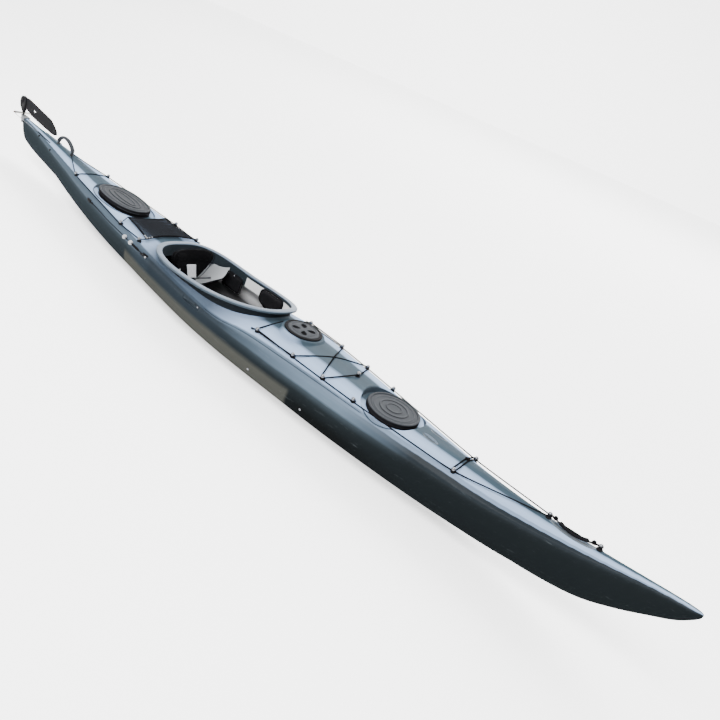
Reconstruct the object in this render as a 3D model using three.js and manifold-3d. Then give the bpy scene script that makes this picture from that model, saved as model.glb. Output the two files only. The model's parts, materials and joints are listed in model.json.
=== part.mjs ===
// Sea kayak: a rotomoulded touring boat with three hatches, a seat, foot steering and a flip-up rudder.
// Millimetres. +X runs to the bow, +Y to port and +Z up. The origin is on the keel, amidships.
import * as THREE from "three";
import { mergeVertices } from "three/addons/utils/BufferGeometryUtils.js";
import Module from "manifold-3d";

const wasm = await Module();
wasm.setup();

// Driving dimensions of the hull
const hullLength = 5030;
const hullBeam = 564;
const hullHeight = 430;
const hullWall = 5;
const fitGap = 0.4;
const cutOverrun = 60;

// Cockpit coaming: the outer edge of its lip is an egg-shaped superellipse, wider aft
const coamingCentreX = -195;
const coamingHalfLength = 470;
const coamingHalfWidth = 240;
const coamingSquareness = 2.7;
const coamingEggShare = 0.2;
const rimMiddleHeight = 272;
const rimRise = 42;
const rimCurl = 38;
const lipReach = 32;
const lipThickness = 8;
const lipDrop = 13;
const lipRound = 4;
const riserWall = 6;
const riserDepth = 75;

// Hatches
const foreHatchX = 1050;
const foreHatchRadius = 133;
const foreHatchTop = 297;
const foreRecessRadius = 162;
const aftHatchX = -1220;
const aftHatchHalfLength = 198;
const aftHatchHalfWidth = 122;
const aftHatchSquareness = 2.3;
const aftHatchTop = 275;
const aftRecessHalfLength = 236;
const aftRecessHalfWidth = 142;
const aftRecessFloor = 236;
const coverHeight = 24;
const coverWall = 4;
const coverRidge = 2;
const rimFlange = 9;
const rimFlangeThickness = 4;
const rimWall = 5;
const dayHatchX = 405;
const dayHatchRadius = 101;
const dayHatchTop = 328;
const dayRingThickness = 8;
const dayRingWidth = 17;
const dayCollarDepth = 47;
const dayCollarWall = 5;
const dayLidBossDepth = 20;
const dayLedgeWidth = 10;
const dayLedgeThickness = 4;
const fingerPocketRadius = 15;
const fingerPocketDepth = 14;
const fingerPocketCircle = 38;
const podDepth = 112;
const podSwell = 12;
const podWall = 3;

// Bulkheads
const bulkheadThickness = 30;
const foreBulkheadX = 820;
const aftBulkheadX = -760;

// Seat and its pads
const seatRearX = -605;
const seatLength = 225;
const seatHalfWidth = 198;
const seatShell = 4;
const seatWingRear = 150;
const seatWingFront = 62;
const seatFrontRise = 140;
const backrestWidth = 384;
const backrestHeight = 205;
const backrestDepth = 42;
const backrestBase = 92;
const backrestX = -500;
const backrestWrap = 55;
const backrestLean = 10;
const backrestFootShare = 0.38;
const backrestRodRadius = 5;
const hipPadDepth = 14;
const hipPadDrops = [46, 150];
const bracePadDepth = 20;
const braceDrops = [14, 122];
const sidePlate = 5;
const braceTurns = [50, 90].map(THREE.MathUtils.degToRad);
const hipPadTurns = [90, 120].map(THREE.MathUtils.degToRad);

// Foot steering
const railLength = 400;
const railHeight = 22;
const railDepth = 12;
const railX = 538;
const railZ = 98;
const boltShankRadius = 3;
const boltHeadRadius = 7;
const boltHeadHeight = 3.5;
const boltSpacing = 354;
const pedalWidth = 80;
const pedalHeight = 130;
const pedalPlate = 9;
const pedalCarriage = 56;
const pedalCarriageWall = 5;
const pedalStandIn = 16;

// Rudder
const rudderPinX = -2526;
const rudderPinRadius = 4;
const rudderTube = 8;
const rudderTubeFoot = 238;
const rudderTubeHeight = 52;
const rudderHeadFoot = 292;
const rudderPivotX = -2552;
const rudderPivotZ = 370;
const rudderHeadRadius = 30;
const rudderCheek = 4;
const bladeThickness = 9;
const bladeRoot = 19;
const yokeHalfSpan = 62;
const yokeBar = 7;
const yokeHeight = 9;
const bladeBoltRadius = 4;
const bracketLength = 66;
const bracketWidth = 32;
const bracketHeight = 8;

// Deck fittings, lines, bungees and handles
const fittingBase = 11;
const fittingBaseHeight = 3.5;
const fittingNeck = 4;
const fittingNeckHeight = 12.5;
const fittingHead = 7.5;
const lineRadius = 2.5;
const bungeeRadius = 3;
const strapRadius = 3.6;
const cableRadius = 1.6;
const handleX = 1998;
const handleSlope = -6.2;
const handleHalfSpan = 112;
const scoopHalfLength = 104;
const scoopHalfWidth = 30;
const scoopDepth = 22;
const scoopRise = 6;
const gripRadius = 9;
const gripLength = 124;
const sternHandleX = -1945;
const sternHandleHalfSpan = 88;
const sternHandleRise = 52;
const sternHandleRadius = 5;
const netRearX = -975;
const netFrontX = -712;
const netRearHalfWidth = 130;
const netFrontHalfWidth = 172;
const netStrand = 3.2;
const netBorder = 6;
const netThickness = 2;
const netBorderThickness = 5;
const netGapsAlong = 10;
const netGapsAcross = 8;
const liftBallRadius = 11;
const liftLineStandOff = 17;
const liftBallGap = 70;

// Shares of the hull's half length, height and half beam, stern to bow: place along the hull, then
// ridge height, deck edge out and up, gunwale out and up, chine out and up, keel flat and keel height.
const hullStationShares = [
  [-1.0, 0.665, 0.014, 0.649, 0.025, 0.623, 0.018, 0.595, 0.007, 0.565],
  [-0.99, 0.665, 0.025, 0.651, 0.039, 0.623, 0.028, 0.526, 0.007, 0.43],
  [-0.978, 0.665, 0.032, 0.649, 0.05, 0.619, 0.035, 0.465, 0.007, 0.349],
  [-0.954, 0.665, 0.046, 0.647, 0.071, 0.614, 0.05, 0.423, 0.007, 0.298],
  [-0.915, 0.663, 0.071, 0.64, 0.106, 0.605, 0.078, 0.391, 0.011, 0.256],
  [-0.855, 0.658, 0.124, 0.626, 0.177, 0.584, 0.138, 0.349, 0.014, 0.216],
  [-0.775, 0.649, 0.206, 0.609, 0.284, 0.558, 0.227, 0.288, 0.021, 0.167],
  [-0.676, 0.623, 0.326, 0.588, 0.418, 0.528, 0.348, 0.198, 0.032, 0.107],
  [-0.557, 0.609, 0.479, 0.57, 0.596, 0.505, 0.482, 0.121, 0.046, 0.049],
  [-0.437, 0.609, 0.61, 0.558, 0.741, 0.488, 0.624, 0.088, 0.064, 0.016],
  [-0.318, 0.586, 0.716, 0.544, 0.851, 0.479, 0.73, 0.07, 0.078, 0.002],
  [-0.199, 0.581, 0.801, 0.516, 0.936, 0.472, 0.837, 0.058, 0.085, 0.0],
  [-0.08, 0.614, 0.879, 0.488, 0.993, 0.467, 0.922, 0.051, 0.085, 0.0],
  [0.02, 0.674, 0.894, 0.493, 1.0, 0.47, 0.929, 0.051, 0.085, 0.0],
  [0.099, 0.726, 0.819, 0.586, 0.975, 0.474, 0.894, 0.056, 0.085, 0.0],
  [0.199, 0.747, 0.741, 0.628, 0.911, 0.484, 0.819, 0.063, 0.085, 0.0],
  [0.318, 0.742, 0.631, 0.647, 0.812, 0.502, 0.723, 0.07, 0.078, 0.005],
  [0.417, 0.735, 0.525, 0.653, 0.716, 0.523, 0.624, 0.088, 0.064, 0.019],
  [0.517, 0.749, 0.418, 0.663, 0.61, 0.551, 0.5, 0.112, 0.046, 0.044],
  [0.616, 0.77, 0.312, 0.674, 0.486, 0.586, 0.379, 0.158, 0.032, 0.086],
  [0.716, 0.8, 0.213, 0.723, 0.362, 0.66, 0.273, 0.237, 0.021, 0.149],
  [0.795, 0.842, 0.145, 0.786, 0.262, 0.735, 0.191, 0.349, 0.014, 0.235],
  [0.855, 0.888, 0.099, 0.842, 0.177, 0.802, 0.128, 0.472, 0.011, 0.34],
  [0.907, 0.935, 0.067, 0.902, 0.121, 0.877, 0.089, 0.623, 0.007, 0.502],
  [0.946, 0.97, 0.046, 0.947, 0.085, 0.926, 0.064, 0.749, 0.007, 0.653],
  [0.978, 0.995, 0.032, 0.977, 0.057, 0.958, 0.043, 0.849, 0.007, 0.786],
  [0.996, 1.0, 0.018, 0.988, 0.028, 0.977, 0.021, 0.93, 0.005, 0.9],
  [1.0, 0.993, 0.007, 0.986, 0.014, 0.979, 0.011, 0.953, 0.004, 0.937],
];
// How far each corner of a section is rounded off along its edges, amidships and at the ends
const ridgeSoftShares = [0.5, 0.16];
const edgeSoftShares = [0.38, 0.3];
const gunwaleSoftShares = [0.36, 0.16];
const chineSoftShares = [0.5, 0.46];
const softBlendShares = [0.35, 0.8];
const stationStepShare = 0.085;
const hollowEndShares = [-0.92, 0.925];

const halfLength = hullLength / 2;
const halfBeam = hullBeam / 2;
const coamingFaces = 36;
const roundFaces = 24;
const smallFaces = 8;
const rodFaces = 16;
const cordSides = 8;

const paints = {
  deckBlue: { color: 0x6d8294, roughness: 0.38, metalness: 0 },
  blackRubber: { color: 0x1b1c1e, roughness: 0.75, metalness: 0 },
  greyRubber: { color: 0x5d5b60, roughness: 0.7, metalness: 0 },
  blackPlastic: { color: 0x17181a, roughness: 0.5, metalness: 0 },
  greyPlastic: { color: 0x9c9c9a, roughness: 0.55, metalness: 0 },
  foam: { color: 0x222326, roughness: 0.95, metalness: 0 },
  padCloth: { color: 0x141517, roughness: 0.9, metalness: 0 },
  steel: { color: 0xb9bcc0, roughness: 0.3, metalness: 1 },
  alloy: { color: 0xa4a8ab, roughness: 0.45, metalness: 1 },
  cordBlack: { color: 0x111214, roughness: 0.85, metalness: 0 },
  netGrey: { color: 0x2c2a30, roughness: 0.9, metalness: 0 },
  ballWhite: { color: 0xd9dadb, roughness: 0.35, metalness: 0 },
};

const kayak = new THREE.Group();

// Solids and meshes

function solidFrom(geometry) {
  const bare = new THREE.BufferGeometry().setAttribute("position", geometry.getAttribute("position"));
  if (geometry.index) bare.setIndex(geometry.index);
  const merged = mergeVertices(bare);
  const corners = merged.index.array;
  const kept = [];
  for (let i = 0; i < corners.length; i += 3) {
    const [a, b, c] = corners.slice(i, i + 3);
    if (a !== b && b !== c && c !== a) kept.push(a, b, c);
  }
  const vertProperties = merged.attributes.position.array;
  const build = (list) =>
    new wasm.Manifold(new wasm.Mesh({ numProp: 3, vertProperties, triVerts: new Uint32Array(list) }));
  const solid = build(kept);
  if (solid.volume() > 0) return solid;
  for (let i = 0; i < kept.length; i += 3) [kept[i], kept[i + 1]] = [kept[i + 1], kept[i]];
  return build(kept);
}

function geometryFrom(solid) {
  const mesh = solid.getMesh();
  const position = new THREE.BufferAttribute(new Float32Array(mesh.vertProperties), 3);
  return new THREE.BufferGeometry()
    .setAttribute("position", position)
    .setIndex(new THREE.BufferAttribute(new Uint32Array(mesh.triVerts), 1));
}

function addPart(name, shape, paint, parent = kayak) {
  const solid = shape.isBufferGeometry ? solidFrom(shape) : shape;
  const mesh = new THREE.Mesh(geometryFrom(solid), new THREE.MeshStandardMaterial(paints[paint]));
  mesh.name = name;
  parent.add(mesh);
  return mesh;
}

// A skin over rings of equal point count: joined round into a loop, or capped at both ends. A cap is a fan from
// its middle, or a strip between the ring's first and second half where the ring is long and thin.
function loft(rings, loop = false, stripCaps = false) {
  const count = rings[0].length;
  const points = rings.flat();
  const faces = [];
  const last = loop ? rings.length : rings.length - 1;
  for (let r = 0; r < last; r++) {
    const next = (r + 1) % rings.length;
    for (let k = 0; k < count; k++) {
      const m = (k + 1) % count;
      const [a, b, c, d] = [r * count + k, r * count + m, next * count + m, next * count + k];
      faces.push(a, b, c, a, c, d);
    }
  }
  if (!loop) {
    [0, rings.length - 1].forEach((r) => {
      const cap = [];
      if (stripCaps) {
        for (let k = 0; k < count / 2 - 1; k++) {
          cap.push(k, k + 1, count - 2 - k, k, count - 2 - k, count - 1 - k);
        }
      } else {
        const hub = new THREE.Vector3();
        rings[r].forEach((p) => hub.addScaledVector(p, 1 / count));
        points.push(hub);
        for (let k = 0; k < count; k++) cap.push(points.length - 1 - r * count, k, (k + 1) % count);
      }
      const placed = cap.map((k) => k + r * count);
      faces.push(...(r === 0 ? placed.reverse() : placed));
    });
  }
  return new THREE.BufferGeometry().setFromPoints(points).setIndex(faces);
}

// A sheet between rows of upper points and the same rows of under points
function sheet(rows, unders) {
  return loft(
    rows.map((row, i) => [...row, ...unders[i].slice().reverse()]),
    false,
    true,
  );
}

function prism(outline, bottom, top) {
  const shape = new THREE.Shape(outline);
  return new THREE.ExtrudeGeometry(shape, { depth: top - bottom, bevelEnabled: false }).translate(0, 0, bottom);
}

function circle(x, y, radius, faces = roundFaces) {
  return Array.from({ length: faces }, (_, i) => {
    const turn = (2 * Math.PI * i) / faces;
    return new THREE.Vector2(x + radius * Math.cos(turn), y + radius * Math.sin(turn));
  });
}

function signedPower(value, power) {
  return Math.sign(value) * Math.abs(value) ** power;
}

function superellipse(x, y, halfX, halfY, squareness, faces = roundFaces) {
  return Array.from({ length: faces }, (_, i) => {
    const turn = (2 * Math.PI * i) / faces;
    const across = signedPower(Math.cos(turn), 2 / squareness);
    const up = signedPower(Math.sin(turn), 2 / squareness);
    return new THREE.Vector2(x + halfX * across, y + halfY * up);
  });
}

// A solid of revolution about +Z from [radius, height] pairs
function turned(profile, faces = roundFaces) {
  const points = profile.map(([radius, height]) => new THREE.Vector2(radius, height));
  return new THREE.LatheGeometry(points, faces).rotateX(Math.PI / 2);
}

function box(x, y, z, sizeX, sizeY, sizeZ) {
  return new THREE.BoxGeometry(sizeX, sizeY, sizeZ).translate(x, y, z);
}

const up = new THREE.Vector3(0, 0, 1);
const across = new THREE.Vector3(0, 1, 0);

// A round cord as rings along a smooth curve, with the same number of rings in every span between two points.
// The cord must not run along the reference direction, which sets how its rings are turned.
function cord(points, radius, perSpan = 2, closed = false, reference = up, sides = cordSides) {
  const path = new THREE.CatmullRomCurve3(points, closed, "centripetal");
  const steps = (closed ? points.length : points.length - 1) * perSpan;
  const rings = Array.from({ length: closed ? steps : steps + 1 }, (_, i) => {
    const centre = path.getPoint(i / steps);
    const along = path.getTangent(i / steps);
    const first = reference.clone().addScaledVector(along, -reference.dot(along)).normalize();
    const second = along.clone().cross(first);
    return circle(0, 0, radius, sides).map((p) =>
      centre.clone().addScaledVector(first, p.x).addScaledVector(second, p.y),
    );
  });
  return loft(rings, closed);
}

function unite(...shapes) {
  const solids = shapes.map((shape) => (shape.isBufferGeometry ? solidFrom(shape) : shape));
  return solids.reduce((all, one) => all.add(one));
}

function mirrored(shape) {
  const geometry = shape.isBufferGeometry ? shape.clone() : geometryFrom(shape);
  return geometry.scale(1, -1, 1);
}

// Hull form

const stationPlaces = hullStationShares.map((row) => row[0]);

// Cubic through the station rows, so that the hull is fair between them
function stationShare(column, place) {
  const last = stationPlaces.length - 1;
  const at = Math.min(Math.max(place, stationPlaces[0]), stationPlaces[last]);
  let i = 0;
  while (i < last - 1 && at > stationPlaces[i + 1]) i++;
  const value = (k) => hullStationShares[k][column];
  const slope = (k) => {
    const low = Math.max(k - 1, 0);
    const high = Math.min(k + 1, last);
    return (value(high) - value(low)) / (stationPlaces[high] - stationPlaces[low]);
  };
  const span = stationPlaces[i + 1] - stationPlaces[i];
  const t = (at - stationPlaces[i]) / span;
  const rise = value(i + 1) - value(i);
  const startSlope = slope(i) * span;
  const endSlope = slope(i + 1) * span;
  const cubic = startSlope + endSlope - 2 * rise;
  const square = 3 * rise - 2 * startSlope - endSlope;
  return value(i) + t * (startSlope + t * (square + t * cubic));
}

// The five corners of half a section, each edge moved inwards by inset
function sectionCorners(x, inset) {
  const place = x / halfLength;
  const share = (column) => Math.max(stationShare(column, place), 0);
  const corners = [
    [0, share(1) * hullHeight],
    [share(2) * halfBeam, share(3) * hullHeight],
    [share(4) * halfBeam, share(5) * hullHeight],
    [share(6) * halfBeam, share(7) * hullHeight],
    [share(8) * halfBeam, share(9) * hullHeight],
    [0, share(9) * hullHeight],
  ];
  if (!inset) return corners;
  const normals = corners.slice(1).map(([y, z], i) => {
    const dy = y - corners[i][0];
    const dz = z - corners[i][1];
    const size = Math.hypot(dy, dz);
    return [dz / size, -dy / size];
  });
  const moved = corners.map(([y, z], i) => {
    const before = i ? normals[i - 1] : [-normals[0][0], normals[0][1]];
    const after = i < normals.length ? normals[i] : [-normals[i - 1][0], normals[i - 1][1]];
    const stretch = 1 + before[0] * after[0] + before[1] * after[1];
    return [y + (inset * (before[0] + after[0])) / stretch, z + (inset * (before[1] + after[1])) / stretch];
  });
  const keel = moved[4];
  if (keel[0] < fitGap) {
    const [chineY, chineZ] = moved[3];
    const fall = (chineZ - keel[1]) / (chineY - keel[0]);
    moved[4] = [fitGap, chineZ - fall * (chineY - fitGap)];
    moved[5] = [0, moved[4][1]];
  }
  return moved;
}

function softShare(pair, place) {
  const [start, end] = softBlendShares;
  const t = Math.min(Math.max((Math.abs(place) - start) / (end - start), 0), 1);
  return pair[0] + (pair[1] - pair[0]) * t * t * (3 - 2 * t);
}

// Points of a corner rounded by a quadratic curve
function roundedCorner(before, corner, after, soft, places) {
  const start = corner.map((v, i) => v + (before[i] - v) * soft);
  const end = corner.map((v, i) => v + (after[i] - v) * soft);
  return places.map((t) => start.map((v, i) => v * (1 - t) ** 2 + 2 * corner[i] * t * (1 - t) + end[i] * t * t));
}

// Half a section from ridge to keel as [out, up] pairs
function halfSection(x, inset) {
  const place = x / halfLength;
  const [ridge, edge, gunwale, chine, keelSide, keel] = sectionCorners(x, inset);
  const mirror = [-edge[0], edge[1]];
  const half = 1 / 2;
  const third = 1 / 3;
  const bend = inset > 0 ? [0, 1] : [0, half, 1];
  const bilge = inset > 0 ? [0, half, 1] : [0, third, 2 * third, 1];
  return [
    ...roundedCorner(mirror, ridge, edge, softShare(ridgeSoftShares, place), [half, 1]),
    ...roundedCorner(ridge, edge, gunwale, softShare(edgeSoftShares, place), bend),
    ...roundedCorner(edge, gunwale, chine, softShare(gunwaleSoftShares, place), bend),
    ...roundedCorner(gunwale, chine, keelSide, softShare(chineSoftShares, place), bilge),
    keelSide,
    keel,
  ];
}

function sectionRing(x, inset) {
  const half = halfSection(x, inset);
  const starboard = half.map(([y, z]) => new THREE.Vector3(x, -y, z));
  const port = half.slice(1, -1).map(([y, z]) => new THREE.Vector3(x, y, z));
  return [...starboard, ...port.reverse()];
}

const stations = stationPlaces.flatMap((place, i) => {
  const next = stationPlaces[i + 1];
  return next - place > stationStepShare ? [place, (place + next) / 2] : [place];
});

function hullSolid(inset) {
  const [start, end] = inset > 0 ? hollowEndShares : [-1, 1];
  const inner = (inset > 0 ? stationPlaces : stations).filter((place) => place > start && place < end);
  const places = [start, ...inner, end];
  return solidFrom(loft(places.map((place) => sectionRing(place * halfLength, inset))));
}

const hullOuter = hullSolid(0);
const hullHollow = hullSolid(hullWall);
const hullClear = hullSolid(-fitGap);
const hullInsideClear = hullSolid(hullWall + fitGap);
const hullSkin = new THREE.Mesh(geometryFrom(hullOuter), new THREE.MeshBasicMaterial({ side: THREE.DoubleSide }));
const probe = new THREE.Raycaster();

const deckProbeReach = 7;
const deckProbes = [
  [deckProbeReach, deckProbeReach],
  [deckProbeReach, -deckProbeReach],
  [-deckProbeReach, deckProbeReach],
  [-deckProbeReach, -deckProbeReach],
];

// The deck's point above (x, y), and its outward direction averaged round there
function deckAt(x, y) {
  probe.set(new THREE.Vector3(x, y, 2 * hullHeight), new THREE.Vector3(0, 0, -1));
  const [hit] = probe.intersectObject(hullSkin);
  const normal = new THREE.Vector3();
  deckProbes.forEach(([moveX, moveY]) => {
    probe.ray.origin.set(x + moveX, y + moveY, 2 * hullHeight);
    const [near] = probe.intersectObject(hullSkin);
    if (near) normal.addScaledVector(near.face.normal, Math.sign(near.face.normal.z));
  });
  return { point: hit.point.clone(), normal: normal.normalize() };
}

// The hull side's point and outward direction at (x, z), on the side that sign gives
function sideAt(x, z, sign) {
  probe.set(new THREE.Vector3(x, sign * hullBeam, z), new THREE.Vector3(0, -sign, 0));
  const [hit] = probe.intersectObject(hullSkin);
  const normal = hit.face.normal.clone();
  if (normal.y * sign < 0) normal.negate();
  return { point: hit.point.clone(), normal };
}

// Stands a shape made about +Z on a surface, with its origin lifted off it by lift
function standOn(shape, place, lift) {
  const turn = new THREE.Quaternion().setFromUnitVectors(new THREE.Vector3(0, 0, 1), place.normal);
  const at = place.point.clone().addScaledVector(place.normal, lift);
  return shape.applyQuaternion(turn).translate(at.x, at.y, at.z);
}

// Coaming

// A point of the coaming's outline moved inwards by inset, with the rim's height there
function coamingPoint(turn, inset) {
  const at = (angle) => {
    const along = signedPower(Math.cos(angle), 2 / coamingSquareness);
    const out = signedPower(Math.sin(angle), 2 / coamingSquareness);
    const egg = 1 - coamingEggShare * Math.cos(angle);
    return [along * coamingHalfLength, out * coamingHalfWidth * egg];
  };
  const nudge = Math.PI / 720;
  const [x, y] = at(turn);
  const [beforeX, beforeY] = at(turn - nudge);
  const [afterX, afterY] = at(turn + nudge);
  const size = Math.hypot(afterX - beforeX, afterY - beforeY);
  const u = x / coamingHalfLength;
  return {
    x: coamingCentreX + x - (inset * (afterY - beforeY)) / size,
    y: y + (inset * (afterX - beforeX)) / size,
    rim: rimMiddleHeight + rimRise * u + rimCurl * u * u,
  };
}

function coamingTurns(count) {
  return Array.from({ length: count }, (_, i) => (2 * Math.PI * (i + 1 / 2)) / count);
}

function coamingSection(turn, profile) {
  return profile.map(([inset, drop]) => {
    const { x, y, rim } = coamingPoint(turn, inset);
    return new THREE.Vector3(x, y, rim - drop);
  });
}

function coamingRing() {
  const profile = [
    [0, lipDrop],
    [0, lipRound],
    [lipRound, 0],
    [lipReach - lipRound, 0],
    [lipReach + 1, lipRound + 1],
    [lipReach + 1, riserDepth],
    [lipReach - riserWall, riserDepth],
    [lipReach - riserWall, lipThickness],
    [lipRound, lipThickness],
    [lipRound, lipDrop],
  ];
  return solidFrom(loft(coamingTurns(coamingFaces).map((turn) => coamingSection(turn, profile)), true));
}

function cockpitOpening() {
  const outline = coamingTurns(coamingFaces).map((turn) => {
    const { x, y } = coamingPoint(turn, lipReach);
    return new THREE.Vector2(x, y);
  });
  return solidFrom(prism(outline, rimMiddleHeight / 2, rimMiddleHeight + rimRise + rimCurl + cutOverrun));
}

// Recesses moulded into the deck: each is cut from outside, and its thick copy is kept out of the hollow

const foreRecessFloor = foreHatchTop - coverHeight - rimFlangeThickness;
const bossTop = dayHatchTop - dayRingThickness - fitGap - 1;
const topOfCuts = hullHeight + cutOverrun;

function hatchRecess(outlineOf, floor) {
  return {
    cut: solidFrom(prism(outlineOf(0), floor, topOfCuts)),
    thick: solidFrom(prism(outlineOf(hullWall), floor - hullWall, topOfCuts + hullWall)),
  };
}

function scoop(x, y, z, halfX, halfY, halfZ, slope) {
  const ball = (grow) =>
    new THREE.SphereGeometry(1, 16, 8)
      .scale(halfX + grow, halfY + grow, halfZ + grow)
      .rotateY(THREE.MathUtils.degToRad(slope))
      .translate(x, y, z);
  return { cut: solidFrom(ball(0)), thick: solidFrom(ball(hullWall)) };
}

const handleDeck = deckAt(handleX, 0).point.z;
const slotX = -125;
const slotLength = 140;
const slotHeight = 32;
const slotDepth = 6;
const slotZ = 196;
const dimpleX = 1290;
const dimpleY = 36;
const dimpleHalfLength = 44;
const dimpleHalfWidth = 17;
const dimpleDepth = 7;
const dimpleRise = 4;

function sideSlot(sign) {
  const wall = sideAt(slotX, slotZ, sign).point.y;
  const block = (grow) =>
    box(slotX, wall, slotZ, slotLength + 2 * grow, 2 * (slotDepth + grow), slotHeight + 2 * grow);
  return { cut: solidFrom(block(0)), thick: solidFrom(block(hullWall)) };
}

function hullShell() {
  const recesses = [
    hatchRecess((grow) => circle(foreHatchX, 0, foreRecessRadius + grow), foreRecessFloor),
    hatchRecess(
      (grow) =>
        superellipse(aftHatchX, 0, aftRecessHalfLength + grow, aftRecessHalfWidth + grow, aftHatchSquareness),
      aftRecessFloor,
    ),
    scoop(handleX, 0, handleDeck + scoopRise, scoopHalfLength, scoopHalfWidth, scoopDepth + scoopRise, handleSlope),
    sideSlot(1),
    sideSlot(-1),
    ...[1, -1].map((sign) =>
      scoop(
        dimpleX,
        sign * dimpleY,
        deckAt(dimpleX, sign * dimpleY).point.z + dimpleRise,
        dimpleHalfLength,
        dimpleHalfWidth,
        dimpleDepth + dimpleRise,
        0,
      ),
    ),
  ];
  const boss = prism(circle(dayHatchX, 0, dayHatchRadius + rimFlange), bossTop - dayCollarDepth, bossTop);
  let outer = hullOuter.add(solidFrom(boss)).add(coamingRing());
  let hollow = hullHollow;
  recesses.forEach(({ cut, thick }) => {
    outer = outer.subtract(cut);
    hollow = hollow.subtract(thick);
  });
  const dayHole = dayHatchRadius - dayRingWidth + dayCollarWall + fitGap;
  const holes = [
    prism(circle(foreHatchX, 0, foreHoleRadius), foreRecessFloor - cutOverrun, topOfCuts),
    prism(aftOutline(aftHoleInset), aftRecessFloor - cutOverrun, topOfCuts),
    prism(circle(dayHatchX, 0, dayHole), bossTop - cutOverrun, topOfCuts),
  ];
  holes.forEach((hole) => {
    hollow = hollow.add(solidFrom(hole));
  });
  hollow = hollow.add(cockpitOpening());
  [1, -1].forEach((sign) => {
    railBolts(sign, fitGap).forEach((bolt) => {
      hollow = hollow.add(solidFrom(bolt));
    });
  });
  return outer.subtract(hollow);
}

// Hatch rims and covers

const foreRimOuter = foreHatchRadius - coverWall - fitGap;
const foreHoleRadius = foreRimOuter - rimWall - rimFlange;
const aftHoleInset = coverWall + fitGap + rimWall + rimFlange;

function aftOutline(inset) {
  return superellipse(aftHatchX, 0, aftHatchHalfLength - inset, aftHatchHalfWidth - inset, aftHatchSquareness);
}

function foreHatch() {
  const foot = foreRecessFloor + fitGap;
  const crown = foreHatchTop - coverRidge - coverWall - fitGap;
  const rim = turned([
    [foreHoleRadius, foot],
    [foreRimOuter + rimFlange / 2, foot],
    [foreRimOuter + rimFlange / 2, foot + rimFlangeThickness - 1],
    [foreRimOuter, foot + rimFlangeThickness],
    [foreRimOuter, crown],
    [foreRimOuter - rimWall, crown],
    [foreRimOuter - rimWall, foot + rimFlangeThickness],
    [foreHoleRadius, foot + rimFlangeThickness],
    [foreHoleRadius, foot],
  ]);
  addPart("fore_hatch_rim", rim.translate(foreHatchX, 0, 0), "blackPlastic");
  const hem = foot + rimFlangeThickness + fitGap;
  const top = foreHatchTop - coverRidge;
  const cover = turned([
    [0, top - coverWall],
    [foreRimOuter + fitGap, top - coverWall],
    [foreRimOuter + fitGap, hem],
    [foreHatchRadius, hem],
    [foreHatchRadius, foreHatchTop - coverRidge],
    [foreHatchRadius - coverWall, foreHatchTop],
    [foreHatchRadius - 3 * coverWall, foreHatchTop],
    [foreHatchRadius - 4 * coverWall, top],
    [foreHatchRadius / 2, top],
    [foreHatchRadius / 2 - coverRidge, foreHatchTop],
    [foreHatchRadius / 4, foreHatchTop],
    [foreHatchRadius / 4 - coverRidge, top],
    [0, top],
  ]);
  addPart("fore_hatch_cover", cover.translate(foreHatchX, 0, 0), "greyRubber");
}

// Rings of the aft hatch's outline, moved inwards and set at heights
function aftLoft(pairs, loop) {
  const rings = pairs.map(([inset, height]) => aftOutline(inset).map((p) => new THREE.Vector3(p.x, p.y, height)));
  return loft(rings, loop);
}

function aftHatch() {
  const foot = aftRecessFloor + fitGap;
  const rimInset = coverWall + fitGap;
  const crown = aftHatchTop - coverRidge - coverWall - fitGap;
  const rim = aftLoft(
    [
      [aftHoleInset, foot],
      [rimInset - rimFlange / 2, foot],
      [rimInset - rimFlange / 2, foot + rimFlangeThickness],
      [rimInset, foot + rimFlangeThickness],
      [rimInset, crown],
      [rimInset + rimWall, crown],
      [rimInset + rimWall, foot + rimFlangeThickness],
      [aftHoleInset, foot + rimFlangeThickness],
    ],
    true,
  );
  addPart("aft_hatch_rim", rim, "blackPlastic");
  const hem = aftHatchTop - coverHeight;
  const top = aftHatchTop - coverRidge;
  const cover = aftLoft([
    [aftHatchHalfWidth / 2, top - coverWall],
    [coverWall, top - coverWall],
    [coverWall, hem],
    [0, hem],
    [0, top],
    [coverWall, aftHatchTop],
    [3 * coverWall, aftHatchTop],
    [4 * coverWall, top],
    [aftHatchHalfWidth / 2, top],
  ]);
  addPart("aft_hatch_cover", cover, "greyRubber");
}

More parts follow.
